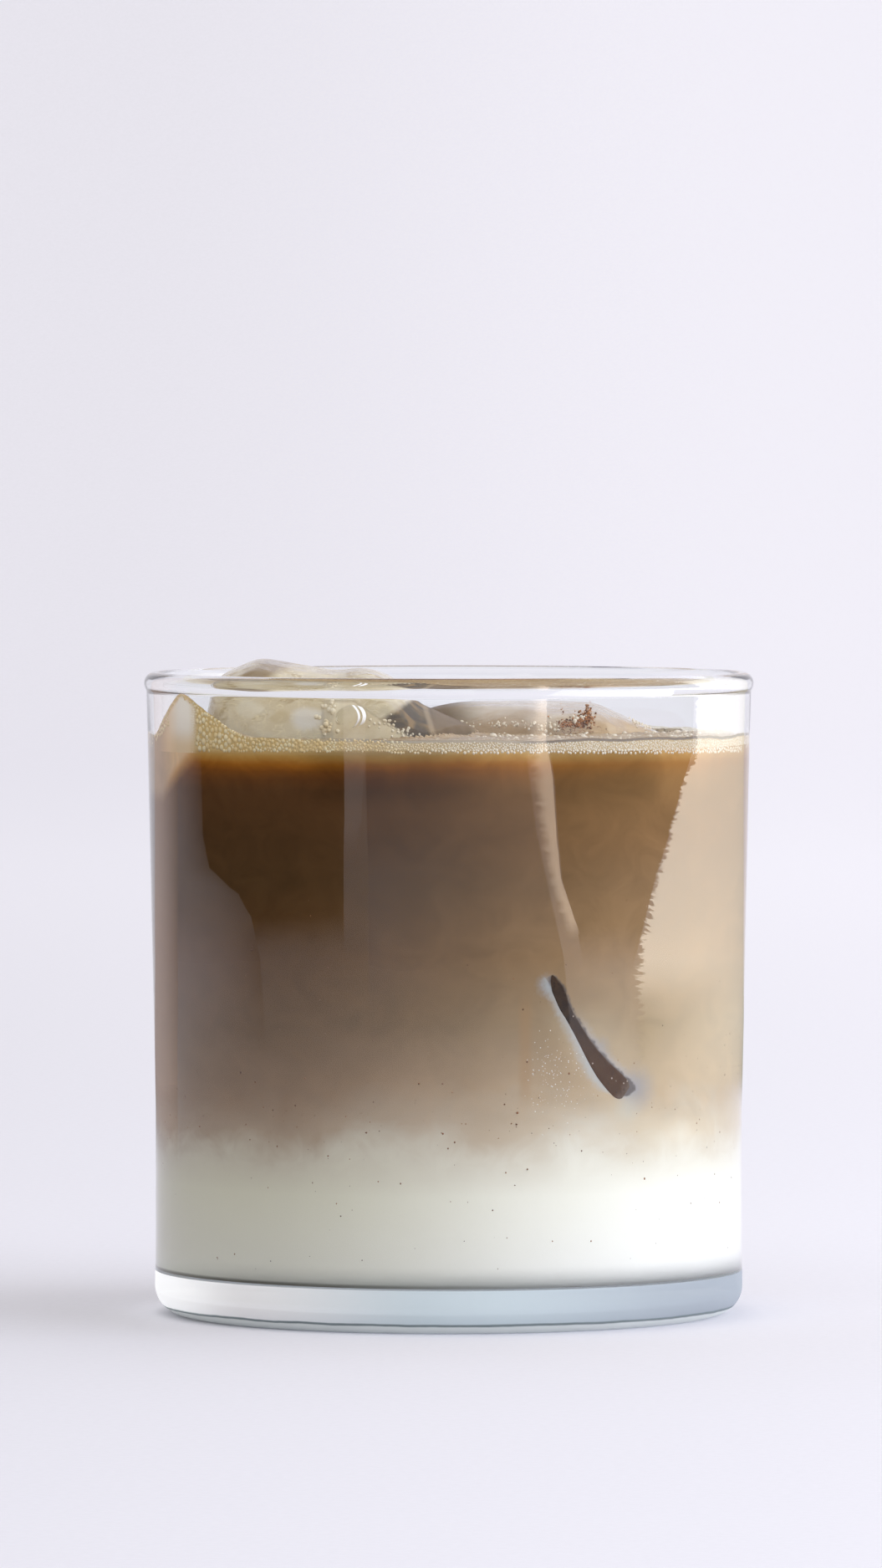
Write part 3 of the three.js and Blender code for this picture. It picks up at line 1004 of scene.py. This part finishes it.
def iceFinish():
    material, place = startMaterial("wet_ice")
    x, y, z = split(place)
    cloud = noise(place, 0.09, detail=4.0, distortion=0.8)
    streak = noise(place * (0.8, 1.0, 1.4), 0.16, detail=4.0, distortion=1.6)
    forward = remap(y, 2.0, -9.0, 0.25, 1.0)
    dents = noise(place, 0.12, detail=2.0)
    milky = mottled(cloud, iceTints["milkyDark"], iceTints["milkyLight"])
    high = mottled(cloud, iceTints["highDark"], iceTints["highLight"])
    milky = mixColor(remap(z, 87.5, 89.0) * forward, milky, high)
    blotch = remap(streak, 0.5, 0.62, 0.0, 0.7) * forward
    color = mixColor(blotch, milky, iceTints["blotch"])
    # thin pale golden veins
    vein = noise(place * (1.0, 1.0, 1.7), 0.2, detail=2.5, distortion=2.2)
    vein = remap(abs(vein - 0.5), 0.022, 0.006, 0.0, 0.7)
    color = mixColor(vein * forward, color, iceTints["vein"])
    # paler and browner places, each a ragged oval
    for patchX, patchZ, reach, amount, tint in icePatches:
        across = x - patchX
        up = (z - patchZ) * 1.4
        away = root(across * across + up * up) + (streak - 0.5) * 5.0
        color = mixColor(remap(away, reach, reach * 0.35, 0.0, amount), color, tint)
    # a dark fold across the crest that stands above the rim
    fold = x + 25.0 + (z - 91.0) * -1.6
    fold = remap(abs(fold + streak * 2.0), 3.6, 1.0) * remap(z, 88.6, 89.6)
    color = mixColor(fold * 0.85, color, iceTints["fold"])
    # the right block is pinker, stained brown low down
    behind = remap(x, -1.0, 6.0) * remap(y, -10.0, -4.0)
    pinkish = mottled(cloud, iceTints["pinkDark"], iceTints["pinkLight"])
    color = mixColor(behind, color, pinkish)
    stain = z + (streak - 0.5) * 5.0
    stain = remap(stain, iceLook["stainTop"] + 0.8, iceLook["stainTop"] - 1.6) * behind
    color = mixColor(stain * 0.7, color, iceTints["stain"])
    # painted shade on the left block's right face: dark brown, as the shaded drink seen through the ice, with
    # one pale fold, above the film of froth
    front = 1.0 - behind
    edge = slantFrom(z, x, iceLook["filmLine"])
    shade = remap(edge, 0.0, 0.5) * remap(slantFrom(x, z, iceLook["shadeLine"]), -0.4, 1.6)
    shade = shade * front * remap(z, 88.2, 87.0)
    brown = mixColor(remap(streak, 0.42, 0.58), iceTints["faceDark"], iceTints["faceLight"])
    brown = mixColor(remap(x, -3.5, -1.5), brown, iceTints["faceRight"])
    pale = remap(abs(slantFrom(x, z, (-3.0, 85.0, -0.35))), 0.6, 0.1)
    brown = mixColor(pale * 0.6, brown, iceTints["faceFold"])
    # the film of froth low on the left block's front, and the column of bubbles up it
    column = remap(abs(x + 16.4), 1.3, 0.5, 0.0, 0.75)
    low = remap(edge, 0.25, -0.35) * remap(x, -17.0, -15.5)
    film = most(column, low) * (front * remap(y, -12.0, -18.0)) * remap(z, 87.6, 86.6)
    froth = mottled(cloud, iceTints["frothDark"], iceTints["frothLight"])
    wet = {"Roughness": 0.06, "IOR": 1.31, "Specular_IOR_Level": 0.5, "Transmission_Weight": iceLook["clear"]}
    clear = principled(place, Base_Color=color, Normal=bump(dents + streak * 0.3, 0.0012, 0.7), **wet)
    covered = mixColor(film, brown, froth)
    cover = principled(place, Base_Color=covered, Roughness=0.5, Specular_IOR_Level=0.04)
    mixed = mixShader(most(film * 0.8, shade * 0.9), clear, cover)
    return finished(material, letLampsThrough(mixed, iceTints["shadow"]))


def makeIce():
    ice = iceFinish()
    for side, block in blocks.items():
        grid = iceGrid(block, *iceRings)
        closedPiece("ice_block_" + side, grid, rowMiddles(grid), ice, "ice", "ice_" + side)


def onIce(block, px, py):
    # the points of the ice's front that are nearest to these places in the photograph
    points = iceGrid(block, *iceRings).reshape(-1, 3)
    points = points[points[:, 1] < block["centre"][1] + 6]
    depth = points[:, 1] + lens["distance"]
    seenX = lens["axisAt"] + lens["focal"] * points[:, 0] / depth
    seenY = lens["horizonAt"] + lens["focal"] * (lens["height"] - points[:, 2]) / depth
    behind = 0.02 * (points[:, 1] - points[:, 1].min()) ** 2
    apart = (seenX - px[:, None]) ** 2 + (seenY - py[:, None]) ** 2 + behind
    return points[np.argmin(apart, axis=1)]


def scatterOnIce(random, block, count, middle, spread, jitter):
    # points on the ice round a place in the photograph, each moved a little in every direction
    px = random.normal(middle[0], spread[0], count)
    py = random.normal(middle[1], spread[1], count)
    seen = onIce(block, px, py)
    return seen + random.normal(0, jitter, seen.shape)


def onDrink(px, py, level):
    # the points of the drink's wall that lie at these places in the photograph
    seen = photoPoint(px, py, innerRadius(level))
    seen[:, :2] *= (drinkWall(seen[:, 2]) / np.hypot(seen[:, 0], seen[:, 1]))[:, None]
    return seen


# The sunk block

# Tints: the edge from top to foot, near black in painted shade as the shaded drink seen through clear ice,
# its grains, and the milk over its right side
sunkTints = {
    "high": (0.022, 0.013, 0.008),
    "low": (0.060, 0.022, 0.004),
    "murk": (0.088, 0.046, 0.020),
    "darkGrain": (0.02, 0.012, 0.008),
    "paleGrain": (0.42, 0.36, 0.30),
    "milk": (0.17, 0.13, 0.10),
}


def sunkFinish():
    material, place = startMaterial("sunk_ice")
    murk = noise(place, 0.5, detail=3.0)
    z = split(place)[2]
    # painted shade: near black, as the shaded drink looks through clear ice, a little browner low down
    color = mixColor(remap(z, 45.0, 36.0), sunkTints["high"], sunkTints["low"])
    color = mixColor(remap(murk, 0.35, 0.7, 0.0, 0.5), color, sunkTints["murk"])
    grain = cells(place, 1.9)
    pick = split(grain["Color"])[0]
    core = remap(grain["Distance"], 0.3, 0.15)
    color = mixColor((pick < 0.25) * core, color, sunkTints["darkGrain"])
    color = mixColor((pick > 0.9) * core, color, sunkTints["paleGrain"])
    # milk creeps in over its right side
    creep = measured(place, "edge") + (murk - 0.5) * 0.8
    color = mixColor(remap(creep, 0.7, 1.15, 0.0, 0.7), color, sunkTints["milk"])
    uneven = bump(murk, 0.0001)
    shader = principled(place, Base_Color=color, Roughness=0.5, Specular_IOR_Level=0.1, Normal=uneven)
    return finished(material, shader)


def makeSunkBlock():
    # a rounded bar of ice along the measured line, a leaf in outline where it stands proud of the drink
    points = sunkLine()
    rows, columns = 70, 40
    share = np.linspace(0, 1, rows)
    length = np.concatenate([[0], np.cumsum(np.linalg.norm(np.diff(points, axis=0), axis=1))])
    line = np.stack([np.interp(share, length / length[-1], points[:, axis]) for axis in range(3)], axis=1)
    soften(line, 6)
    wall = drinkWall(line[:, 2])
    line[:, :2] *= (wall / np.hypot(line[:, 0], line[:, 1]))[:, None]
    out = np.stack([line[:, 0] / wall, line[:, 1] / wall, np.zeros(rows)], axis=1)
    along = np.gradient(line, axis=0)
    along /= np.linalg.norm(along, axis=1)[:, None]
    across = np.cross(along, out)
    at, half = np.array(sunkEdge["halfWidth"]).T
    width = np.interp(share, at, half)
    turn = fullTurn(columns)
    # the section is an oval, flat where it presses on the glass and deep towards the drink
    reach = np.where(np.sin(turn) > 0, sunkEdge["proud"], sunkEdge["depth"]) * np.sin(turn)
    sideways = across[:, None, :] * (width[:, None] * np.cos(turn))[..., None]
    outward = out[:, None, :] * (np.minimum(1, width[:, None]) * reach)[..., None]
    # the flat wall side follows the round glass: straight across would cut into it
    level = (across[:, :1] ** 2 + across[:, 1:2] ** 2) ** 0.5
    bend = (width[:, None] * np.cos(turn) * level) ** 2 / (2 * wall[:, None])
    grid = line[:, None, :] + sideways + outward - out[:, None, :] * bend[..., None]
    piece = closedPiece("sunk_ice_edge", grid, [line[0], line[-1]], sunkFinish(), "ice")
    # how far towards its right side and its foot each point lies
    right = np.cos(turn) * np.sign(across[:, :1])
    foot = smooth(0.8, 1.0, share)[:, None]
    edge = np.concatenate([[0.0], np.maximum(right, foot).ravel(), [1.0]])
    keepValues(piece, "edge", edge)


# Bubbles, powder and specks

def bubbleFinish(name, deep, light, right):
    # tints: two that take turns at the left, and one at the right
    material, place = startMaterial(name)
    x = split(place)[0]
    tint = noise(place, 0.5, detail=1.0)
    color = mottled(tint, deep, light)
    color = mixColor(remap(x, -16.0, 12.0), color, right)
    skin = {"Transmission_Weight": 0.15, "Coat_Weight": 0.5, "Coat_Roughness": 0.05}
    shader = principled(place, Base_Color=color, Roughness=0.12, IOR=1.34, **skin)
    return finished(material, letLampsThrough(shader, (0.7, 0.66, 0.58)))


wallBubbles = {
    "underside": 80.5,      # height of the froth's lower edge at the front
    "drop": 0.35,           # how much lower it is 30 mm to a side
    "crown": 0.7,           # least depth under the froth's upper edge, over the radius
    "spacing": 0.84,        # least distance of two bubbles, over the sum of their radii
    "sunk": 0.35,           # how far a bubble's middle lies inside the drink's wall, over the radius
}
openBubbles = {             # on the open froth
    "count": 1500,
    "within": 39.4,
    "level": 82.0,
    "radii": (0.08, 0.6),
    "sunk": 0.4,
}


def packed(random, bands):
    # bubbles side by side on the wall: a try is kept when it doesn't overlap an earlier one by much
    look = wallBubbles
    nominal = innerRadius(drink["frothTop"])
    kept = np.zeros((0, 3))
    for count, turns, radii, low, high in bands:
        turn = random.uniform(*np.radians(turns), count)
        x = np.sin(turn) * nominal
        y = -np.cos(turn) * nominal
        under = look["underside"] - look["drop"] * (x / 30) ** 2
        top = frothSurface(x, y)
        size = random.uniform(*radii, count)
        z = under + (top - under) * random.uniform(low, high, count)
        z = np.minimum(z, top - size * look["crown"])
        for tried in np.stack([turn * nominal, z, size], axis=1):
            apart = np.hypot(kept[:, 0] - tried[0], kept[:, 1] - tried[1])
            if np.all(apart > look["spacing"] * (kept[:, 2] + tried[2])):
                kept = np.vstack([kept, tried])
    turn = kept[:, 0] / nominal
    radius = drinkWall(kept[:, 1]) - kept[:, 2] * look["sunk"]
    return np.stack([np.sin(turn) * radius, -np.cos(turn) * radius, kept[:, 1]], axis=1), kept[:, 2]


bubbleBands = (     # tries, turns from the front in degrees, radii in mm, low and high share of the froth
    (300, (-79, -44), (0.20, 0.33), 0.93, 1.02),
    (500, (-57.5, -44), (0.36, 0.56), 0.03, 0.97),
    (500, (-57.5, -42), (0.17, 0.30), 0.0, 1.0),
    (700, (-46, -24), (0.22, 0.38), 0.05, 0.9),
    (1200, (-46, -9), (0.13, 0.24), 0.0, 0.95),
    (160, (-79, -69), (0.18, 0.36), 0.6, 1.0),
    (1300, (-12, 78), (0.16, 0.25), -0.14, 0.14),
    (3000, (-12, 78), (0.10, 0.17), 0.1, 0.75),
    (1500, (80, 280), (0.12, 0.30), 0.1, 0.95),
)
iceBubbles = (      # block, count, middle and spread in the photograph's pixels, radii in mm
    ("left", 34, (395, 864), (5, 12), (0.22, 0.46)),
    ("left", 22, (462, 864), (9, 3), (0.12, 0.26)),
    ("left", 22, (480, 876), (8, 3), (0.12, 0.26)),
    ("right", 46, (600, 866), (26, 2.5), (0.10, 0.24)),
    ("right", 26, (652, 868), (10, 4), (0.14, 0.30)),
    ("right", 9, (694, 860), (5, 2.5), (0.24, 0.34)),
    ("right", 60, (770, 862), (9, 4.5), (0.10, 0.22)),
)


def makeBubbles(random):
    bubbles = bubbleFinish("wall_bubble_skin", (0.95, 0.74, 0.38), (1.0, 0.88, 0.58), (0.94, 0.87, 0.73))
    ball = beadShape(5, 9)
    centres, sizes = packed(random, bubbleBands)
    scatterPiece("wall_bubbles", ball, centres, sizes, bubbles, "froth")
    # on the open froth, small near the front
    look = openBubbles
    reach = np.sqrt(random.uniform(0, 1, look["count"])) * look["within"]
    turn = random.uniform(0, 2 * np.pi, look["count"])
    x = reach * np.cos(turn)
    y = reach * np.sin(turn)
    nearest = np.minimum(*[iceShare(block, x, y, look["level"]) for block in blocks.values()])
    x, y = x[nearest > 1.02], y[nearest > 1.02]
    size = np.clip(random.lognormal(-1.6, 0.5, len(x)), *look["radii"]) * (0.55 + 0.45 * smooth(-30, -10, y))
    centres = np.stack([x, y, frothSurface(x, y) - size * look["sunk"]], axis=1)
    # on the ice, where the froth has run up it
    for side, count, middle, spread, radii in iceBubbles:
        seen = scatterOnIce(random, blocks[side], count, middle, spread, 0.08)
        centres = np.concatenate([centres, seen])
        size = np.concatenate([size, random.uniform(*radii, count)])
    paler = bubbleFinish("surface_bubble_skin", (0.78, 0.66, 0.44), (0.88, 0.80, 0.62), (0.86, 0.77, 0.62))
    scatterPiece("surface_bubbles", beadShape(), centres, size, paler, "froth")


domeBubble = {
    "centre": (-13.3, -27.6, 85.0),
    "radius": 2.2,
    "lift": 0.7,
}


# Tints: the large bubble's skin, the window in it and its shadow
domeTints = {
    "skin": (0.93, 0.90, 0.80),
    "skinLight": (0.99, 0.98, 0.94),
    "window": (1.0, 1.0, 1.0),
    "shadow": (0.95, 0.94, 0.9),
}


def domeFinish():
    # clear, with two pale slashes of window light
    material, place = startMaterial("bubble_skin")
    x, y, z = split(place)
    swirl = noise(place, 0.7, detail=2.0)
    color = mottled(swirl, domeTints["skin"], domeTints["skinLight"])
    across = (x - domeBubble["centre"][0]) / domeBubble["radius"]
    bent = z - domeBubble["centre"][2]
    bent = across + bent * bent * 0.16
    slashes = most(remap(abs(bent - 0.47), 0.09, 0.05), remap(abs(bent - 0.80), 0.13, 0.08))
    slashes = slashes * (y < domeBubble["centre"][1])
    clear = principled(place, Base_Color=color, Roughness=0.02, IOR=1.2, Transmission_Weight=1.0)
    light = Flow(addNode(place, "BsdfDiffuse", {"Color": domeTints["window"]}).outputs[0])
    mixed = mixShader(slashes * 0.9, clear, light)
    return finished(material, letLampsThrough(mixed, domeTints["shadow"]))


def makeDome():
    # a flattened ball with three slow lobes
    tilt = np.linspace(np.pi, 0, 26)[1:-1][:, None]
    turn = fullTurn(40)
    radius = domeBubble["radius"] * (1 + 0.03 * np.sin(3 * turn + 2 * tilt))
    x = domeBubble["centre"][0] + radius * np.sin(tilt) * np.cos(turn)
    y = domeBubble["centre"][1] + radius * np.sin(tilt) * np.sin(turn)
    z = domeBubble["centre"][2] + domeBubble["lift"] * radius * np.cos(tilt)
    grid = np.stack([x, y, z], axis=-1)
    closedPiece("large_bubble", grid, rowMiddles(grid), domeFinish(), "froth")


def speckFinish(name, deep, light):
    material, place = startMaterial(name)
    tint = noise(place, 1.5, detail=1.0)
    color = mottled(tint, deep, light)
    shader = principled(place, Base_Color=color, Roughness=0.7, Specular_IOR_Level=0.15)
    return finished(material, shader)


# The specks that stand out in the photograph, with their radii in mm
specks = (
    (623, 1207, 0.14), (628, 1270, 0.12), (617, 1331, 0.21), (616, 1345, 0.17), (610, 1344, 0.11),
    (377, 1415, 0.10), (405, 1440, 0.10), (410, 1455, 0.12), (588, 1448, 0.13), (765, 1410, 0.16),
    (703, 1485, 0.13), (658, 1485, 0.12), (435, 1508, 0.10), (480, 1416, 0.12), (614, 1418, 0.10),
    (556, 1547, 0.09), (455, 1353, 0.11), (300, 1345, 0.09),
)
# Tea specks anywhere on the drink's wall, most of them low: middle and spread of their height in mm
speckle = {
    "count": 420,
    "lowShare": 0.75,
    "low": (31, 5.5),
    "anywhere": (9, 60),
    "between": (9, 76),
    "radii": (0.05, 0.15),
    "level": 30.0,      # height at which the glass's radius is taken for the measured ones
}
glints = {             # tiny pale grains in the drink left of the sunk edge, in the photograph's pixels
    "count": 130,
    "middle": (662, 1290),
    "spread": (16, 27),
    "radii": (0.04, 0.10),
    "level": 35.0,
}
# Powder on the right block: count, middle and spread in the photograph's pixels, radii in mm
powder = (                          # clump, trail, hook, its end, and haze
    (260, (698, 861), (5, 3.5), (0.06, 0.20)),
    (170, (680, 866), (8, 3.0), (0.05, 0.14)),
    (80, (703, 849), (1.5, 4.5), (0.05, 0.15)),
    (20, (672, 850), (1.5, 5.0), (0.05, 0.10)),
    (150, (690, 874), (14, 3.5), (0.04, 0.08)),
)


def makeSpecks(random):
    dark = speckFinish("tea_specks", (0.09, 0.034, 0.014), (0.33, 0.145, 0.058))
    reddish = speckFinish("tea_powder", (0.12, 0.045, 0.014), (0.48, 0.21, 0.07))
    grain = beadShape(3, 6)
    # specks caught between drink and glass, most where tea and milk meet
    count = speckle["count"]
    turn = random.uniform(0, 2 * np.pi, count)
    low = random.uniform(0, 1, count) < speckle["lowShare"]
    z = np.where(low, random.normal(*speckle["low"], count), random.uniform(*speckle["anywhere"], count))
    z = np.clip(z, *speckle["between"])
    size = np.clip(random.lognormal(-2.5, 0.35, count), *speckle["radii"])
    radius = drinkWall(z)
    centres = np.stack([radius * np.sin(turn), -radius * np.cos(turn), z], axis=1)
    px, py, large = np.array(specks).T
    centres = np.concatenate([centres, onDrink(px, py, speckle["level"])])
    size = np.concatenate([size, large])
    sizes = size[:, None] * random.uniform(0.7, 1.2, (len(size), 3))
    scatterPiece("tea_specks", grain, centres, sizes, dark, "tea")
    # the hook of undissolved powder on the right block
    centres = np.zeros((0, 3))
    size = np.zeros(0)
    for count, middle, spread, radii in powder:
        seen = scatterOnIce(random, rightBlock, count, middle, spread, 0.15)
        centres = np.concatenate([centres, seen])
        size = np.concatenate([size, random.uniform(*radii, count)])
    sizes = size[:, None] * random.uniform(0.7, 1.3, (len(size), 3))
    scatterPiece("powder_on_ice", grain, centres, sizes, reddish, "tea")
    count = glints["count"]
    px = random.normal(glints["middle"][0], glints["spread"][0], count)
    py = random.normal(glints["middle"][1], glints["spread"][1], count)
    seen = onDrink(px, py, glints["level"])
    size = random.uniform(*glints["radii"], count)
    skin = bubbleFinish("pale_grain_skin", (0.95, 0.93, 0.86), (1.0, 1.0, 0.97), (1.0, 0.99, 0.95))
    scatterPiece("pale_grains", grain, seen, size, skin, "tea")


# Stage, lights and camera

paper = {
    "color": (0.765, 0.76, 0.812),
    "glow": (0.298, 0.296, 0.328),       # keeps the paper even from near to far
    "nearGlow": 0.07,
    "farGlow": 0.54,
    "flatTo": 2500.0,
    "round": 900.0,
}


def makeStage():
    material, place = startMaterial("paper_sweep")
    x, y, _ = split(place)
    fibre = noise(place, 0.8, detail=2.0)
    pale = tuple(value * 1.02 for value in paper["color"])
    tone = mixColor(remap(fibre, 0.3, 0.7), paper["color"], pale)
    far = root(x * x + y * y)
    even = remap(far, 200.0, 1700.0, paper["nearGlow"], paper["farGlow"])
    # painted light: the paper glows brighter towards the right and towards the back
    lean = remap(x, -150.0, 150.0, -0.12, 0.16) + remap(y, -120.0, 200.0, -0.05, 0.08)
    glow = {"Emission_Color": paper["glow"], "Emission_Strength": even + lean}
    finished(material, principled(place, Base_Color=tone, Roughness=0.9, Specular_IOR_Level=0.1, **glow))
    # flat floor, then a quarter round up at the back, and a straight wall
    bend = paper["round"]
    turn = np.radians(np.linspace(0, 90, 24))[1:]
    flat = np.linspace(-4500, paper["flatTo"], 30)
    y = np.concatenate([flat, paper["flatTo"] + bend * np.sin(turn), [paper["flatTo"] + bend]])
    z = np.concatenate([0 * flat, bend - bend * np.cos(turn), [5000]])
    grid = np.stack(np.broadcast_arrays([[-4500.0, 4500.0]], y[:, None], z[:, None]), axis=-1)
    row = np.arange(len(y) - 1) * 2
    faces = np.stack([row, row + 1, row + 3, row + 2], axis=1)
    sweep = addPiece("paper_sweep", grid.reshape(-1, 3), faces, material, None)


# Cards seen only as reflections in the glass: the light that the reflection adds, how ragged and how soft the
# left edge is as shares of the width, and rows of height, left and right edge in the photograph's pixels, and
# the strength at the left and right edge
cards = (
    ("window_right", (0.375, 0.36, 0.325), 0.10, 0.03, (
        (780, 832, 890, 1, 1), (903, 829, 890, 1, 1), (920, 818, 890, 1, 1), (938, 811, 890, 1, 1),
        (1000, 797, 890, 1, 1), (1053, 781, 890, 1, 1), (1112, 766, 890, 1, 1), (1150, 756, 890, 1, 1),
        (1172, 755, 890, 0.7, 0.95), (1195, 756, 890, 0.3, 0.95), (1225, 757, 890, 0.09, 0.95),
        (1275, 758, 890, 0.09, 0.8), (1330, 758, 890, 0.09, 0.4),
    )),
    ("window_strip", (0.24, 0.20, 0.165), 0.3, 0.5, (
        (780, 640, 664, 1, 1), (890, 632, 653, 1, 1), (938, 634, 661, 1, 1), (1000, 643, 665, 1, 1),
        (1050, 655, 671, 1, 1), (1100, 668, 687, 1, 1), (1133, 674, 697, 1, 1),
    )),
    ("room_front", (0.028, 0.033, 0.042), 0.0, 0.003, (
        (780, 437, 639, 0.5, 0.5), (890, 437, 630, 0.4, 0.4), (925, 437, 632, 0.5, 0.5),
        (1000, 438, 642, 0.6, 0.6), (1050, 440, 654, 0.85, 0.5), (1150, 441, 675, 0.9, 0.2),
        (1290, 441, 690, 0.5, 0.1),
    )),
    ("room_sliver", (0.046, 0.044, 0.046), 0.0, 0.02, (
        (780, 411, 436, 0.8, 0.8), (905, 411, 436, 1, 1), (938, 411, 434, 1, 1), (980, 411, 431, 1, 1),
        (1018, 411, 424, 1, 1),
    )),
    ("room_edge", (0.070, 0.058, 0.056), 0.0, 0.003, (
        (780, 185, 212, 3.2, 1.0), (905, 185, 212, 3.6, 1.0), (1000, 185, 212, 4.0, 1.3),
        (1062, 185, 212, 4.2, 1.4), (1150, 185, 212, 4.2, 1.6), (1300, 185, 212, 4.0, 1.8),
        (1400, 185, 212, 2.0, 0.6),
    )),
    ("room_left", (0.065, 0.061, 0.066), 0.0, 0.003, (
        (780, 212, 238, 1.0, 0.1), (905, 212, 239, 1.0, 0.1), (1000, 212, 242, 1.2, 0.3),
        (1040, 212, 250, 1.2, 0.35), (1062, 212, 284, 1.2, 0.35), (1090, 212, 300, 1.2, 0.35),
        (1150, 212, 312, 1.6, 0.35), (1300, 212, 320, 1.8, 0.3),
    )),
    ("dark_left", (0, 0, 0), 0.0, 0.001, (
        (780, 238, 411, 1, 1), (905, 239, 411, 1, 1), (1000, 242, 411, 1, 1), (1040, 250, 411, 1, 1),
        (1062, 284, 411, 1, 1), (1090, 300, 411, 1, 1), (1150, 312, 411, 1, 1),
    )),
    ("dark_right", (0, 0, 0), 0.0, 0.01, (
        (780, 665, 831, 1, 1), (890, 654, 829, 1, 1), (938, 662, 815, 1, 1), (1000, 666, 801, 1, 1),
        (1053, 672, 785, 1, 1), (1112, 690, 770, 1, 1), (1172, 700, 752, 1, 1),
    )),
)
cardDistance = 300.0


def glassMirror(px, py):
    # the camera's line through a pixel, mirrored in the leaning glass wall and followed out to the cards'
    # cylinder, and the share of light that clear glass mirrors at that slant
    spot = photoPoint(px, py, tumbler["waistRadius"])
    radius = outerRadius(spot[..., 2])
    spot = photoPoint(px, py, radius)
    lean = outerRadius(spot[..., 2] + 0.5) - outerRadius(spot[..., 2] - 0.5)
    ray = spot - np.array([0, -lens["distance"], lens["height"]])
    ray /= np.linalg.norm(ray, axis=-1)[..., None]
    normal = np.stack([spot[..., 0] / radius, spot[..., 1] / radius, -lean], axis=-1)
    normal /= np.linalg.norm(normal, axis=-1)[..., None]
    facing = -(ray * normal).sum(axis=-1)
    away = ray + 2 * facing[..., None] * normal
    a = away[..., 0] ** 2 + away[..., 1] ** 2
    b = spot[..., 0] * away[..., 0] + spot[..., 1] * away[..., 1]
    step = (-b + np.sqrt(b * b - a * (radius ** 2 - cardDistance ** 2))) / a
    inside = np.sqrt(1 - (1 - facing ** 2) / 2.25)
    across = ((facing - 1.5 * inside) / (facing + 1.5 * inside)) ** 2
    along = ((inside - 1.5 * facing) / (inside + 1.5 * facing)) ** 2
    return spot + away * step[..., None], (across + along) / 2


def cardFinish(name, light, ragged, soft):
    material, place = startMaterial(name)
    brightest = max(light)
    tint = tuple(value / max(brightest, 1e-6) for value in light)
    values = {"Color": tint, "Strength": measured(place, "strength") * brightest}
    glow = Flow(addNode(place, "Emission", values).outputs[0])
    teeth = noise(place * (0.01, 0.01, 1.0), 1.6, detail=3.0, roughness=0.7)
    start = remap(teeth, 0.3, 0.7) * ragged
    inside = (measured(place, "across") - start) / soft
    keep = least(most(inside + 0.02, 0.0), 1.0)
    gone = Flow(addNode(place, "BsdfTransparent").outputs[0])
    finished(material, mixShader(remap(measured(place, "solid"), 0.0, 1.0) * keep, gone, glow))
    material.cycles.emission_sampling = "NONE"
    return material


def makeCards():
    columns = 30
    across = np.linspace(0, 1, columns)
    for name, light, ragged, soft, rows in cards:
        py, left, right, strongLeft, strongRight = np.array(rows, dtype=float).T[:, :, None]
        grid, mirrored = glassMirror(left * (1 - across) + right * across, py + 0 * across)
        strong = strongLeft * (1 - across) + strongRight * across
        grid[0, :, 2] += 200
        row = (np.arange(len(rows) - 1) * columns)[:, None]
        here = np.arange(columns - 1)
        corners = [row + here, row + here + 1, row + columns + here + 1, row + columns + here]
        faces = np.stack(corners, axis=-1).reshape(-1, 4)
        finish = cardFinish(name, light, ragged, soft)
        card = addPiece(name, grid.reshape(-1, 3), faces, finish, None)
        solid = np.ones(grid.shape[:2])
        solid[-1] = 0
        keepValues(card, "solid", solid)
        keepValues(card, "across", across + 0 * solid)
        keepValues(card, "strength", strong / mirrored)
        for kind in ("camera", "diffuse", "transmission", "volume_scatter", "shadow"):
            setattr(card, "visible_" + kind, False)


def addLamp(name, place, target, size, watts, color, glossy=False):
    lamp = bpy.data.lights.new(name, "AREA")
    lamp.shape = "RECTANGLE"
    lamp.size, lamp.size_y = size
    lamp.energy = watts
    lamp.color = color
    holder = bpy.data.objects.new(name, lamp)
    holder.location = place
    aim = Vector(target) - Vector(place)
    holder.rotation_euler = aim.to_track_quat("-Z", "Y").to_euler()
    holder.visible_glossy = glossy
    bpy.context.scene.collection.objects.link(holder)


def makeLights():
    world = bpy.data.worlds.new("pale_room")
    world.use_nodes = True
    background = world.node_tree.nodes["Background"]
    background.inputs["Color"].default_value = (0.797, 0.779, 0.758, 1)
    background.inputs["Strength"].default_value = 1.0
    bpy.context.scene.world = world
    middle = (0, 0, 0.045)
    addLamp("key_right", (1.02, -0.35, 0.42), middle, (1.2, 0.6), 7.4, (0.955, 0.99, 1.13))
    addLamp("fill_front", (-0.15, -1.4, 0.3), middle, (0.8, 0.8), 1.3, (0.97, 0.99, 1.08))
    addLamp("top_soft", (0.2, 0.1, 1.6), middle, (1.6, 1.6), 4.0, (0.97, 0.99, 1.1))


def makeCamera():
    camera = bpy.data.cameras.new("photo_camera")
    camera.lens = lens["focal"] / lens["high"] * lens["sensor"]
    camera.sensor_width = lens["sensor"]
    camera.clip_start = 0.05
    camera.clip_end = 30
    holder = bpy.data.objects.new("photo_camera", camera)
    sideways = (lens["axisAt"] - lens["wide"] / 2) / lens["focal"]
    pitch = math.atan((lens["high"] / 2 - lens["horizonAt"]) / lens["focal"])
    holder.location = (-sideways * lens["distance"] * mm, -lens["distance"] * mm, lens["height"] * mm)
    holder.rotation_euler = (math.pi / 2 - pitch, 0, 0)
    bpy.context.scene.collection.objects.link(holder)
    bpy.context.scene.camera = holder
    bpy.context.scene.view_settings.view_transform = "Standard"


random = np.random.default_rng(11)
makeGlass()
makeMilkAndTea()
makeFroth()
makeIce()
makeSunkBlock()
makeBubbles(random)
makeDome()
makeSpecks(random)
makeStage()
makeCards()
makeLights()
makeCamera()
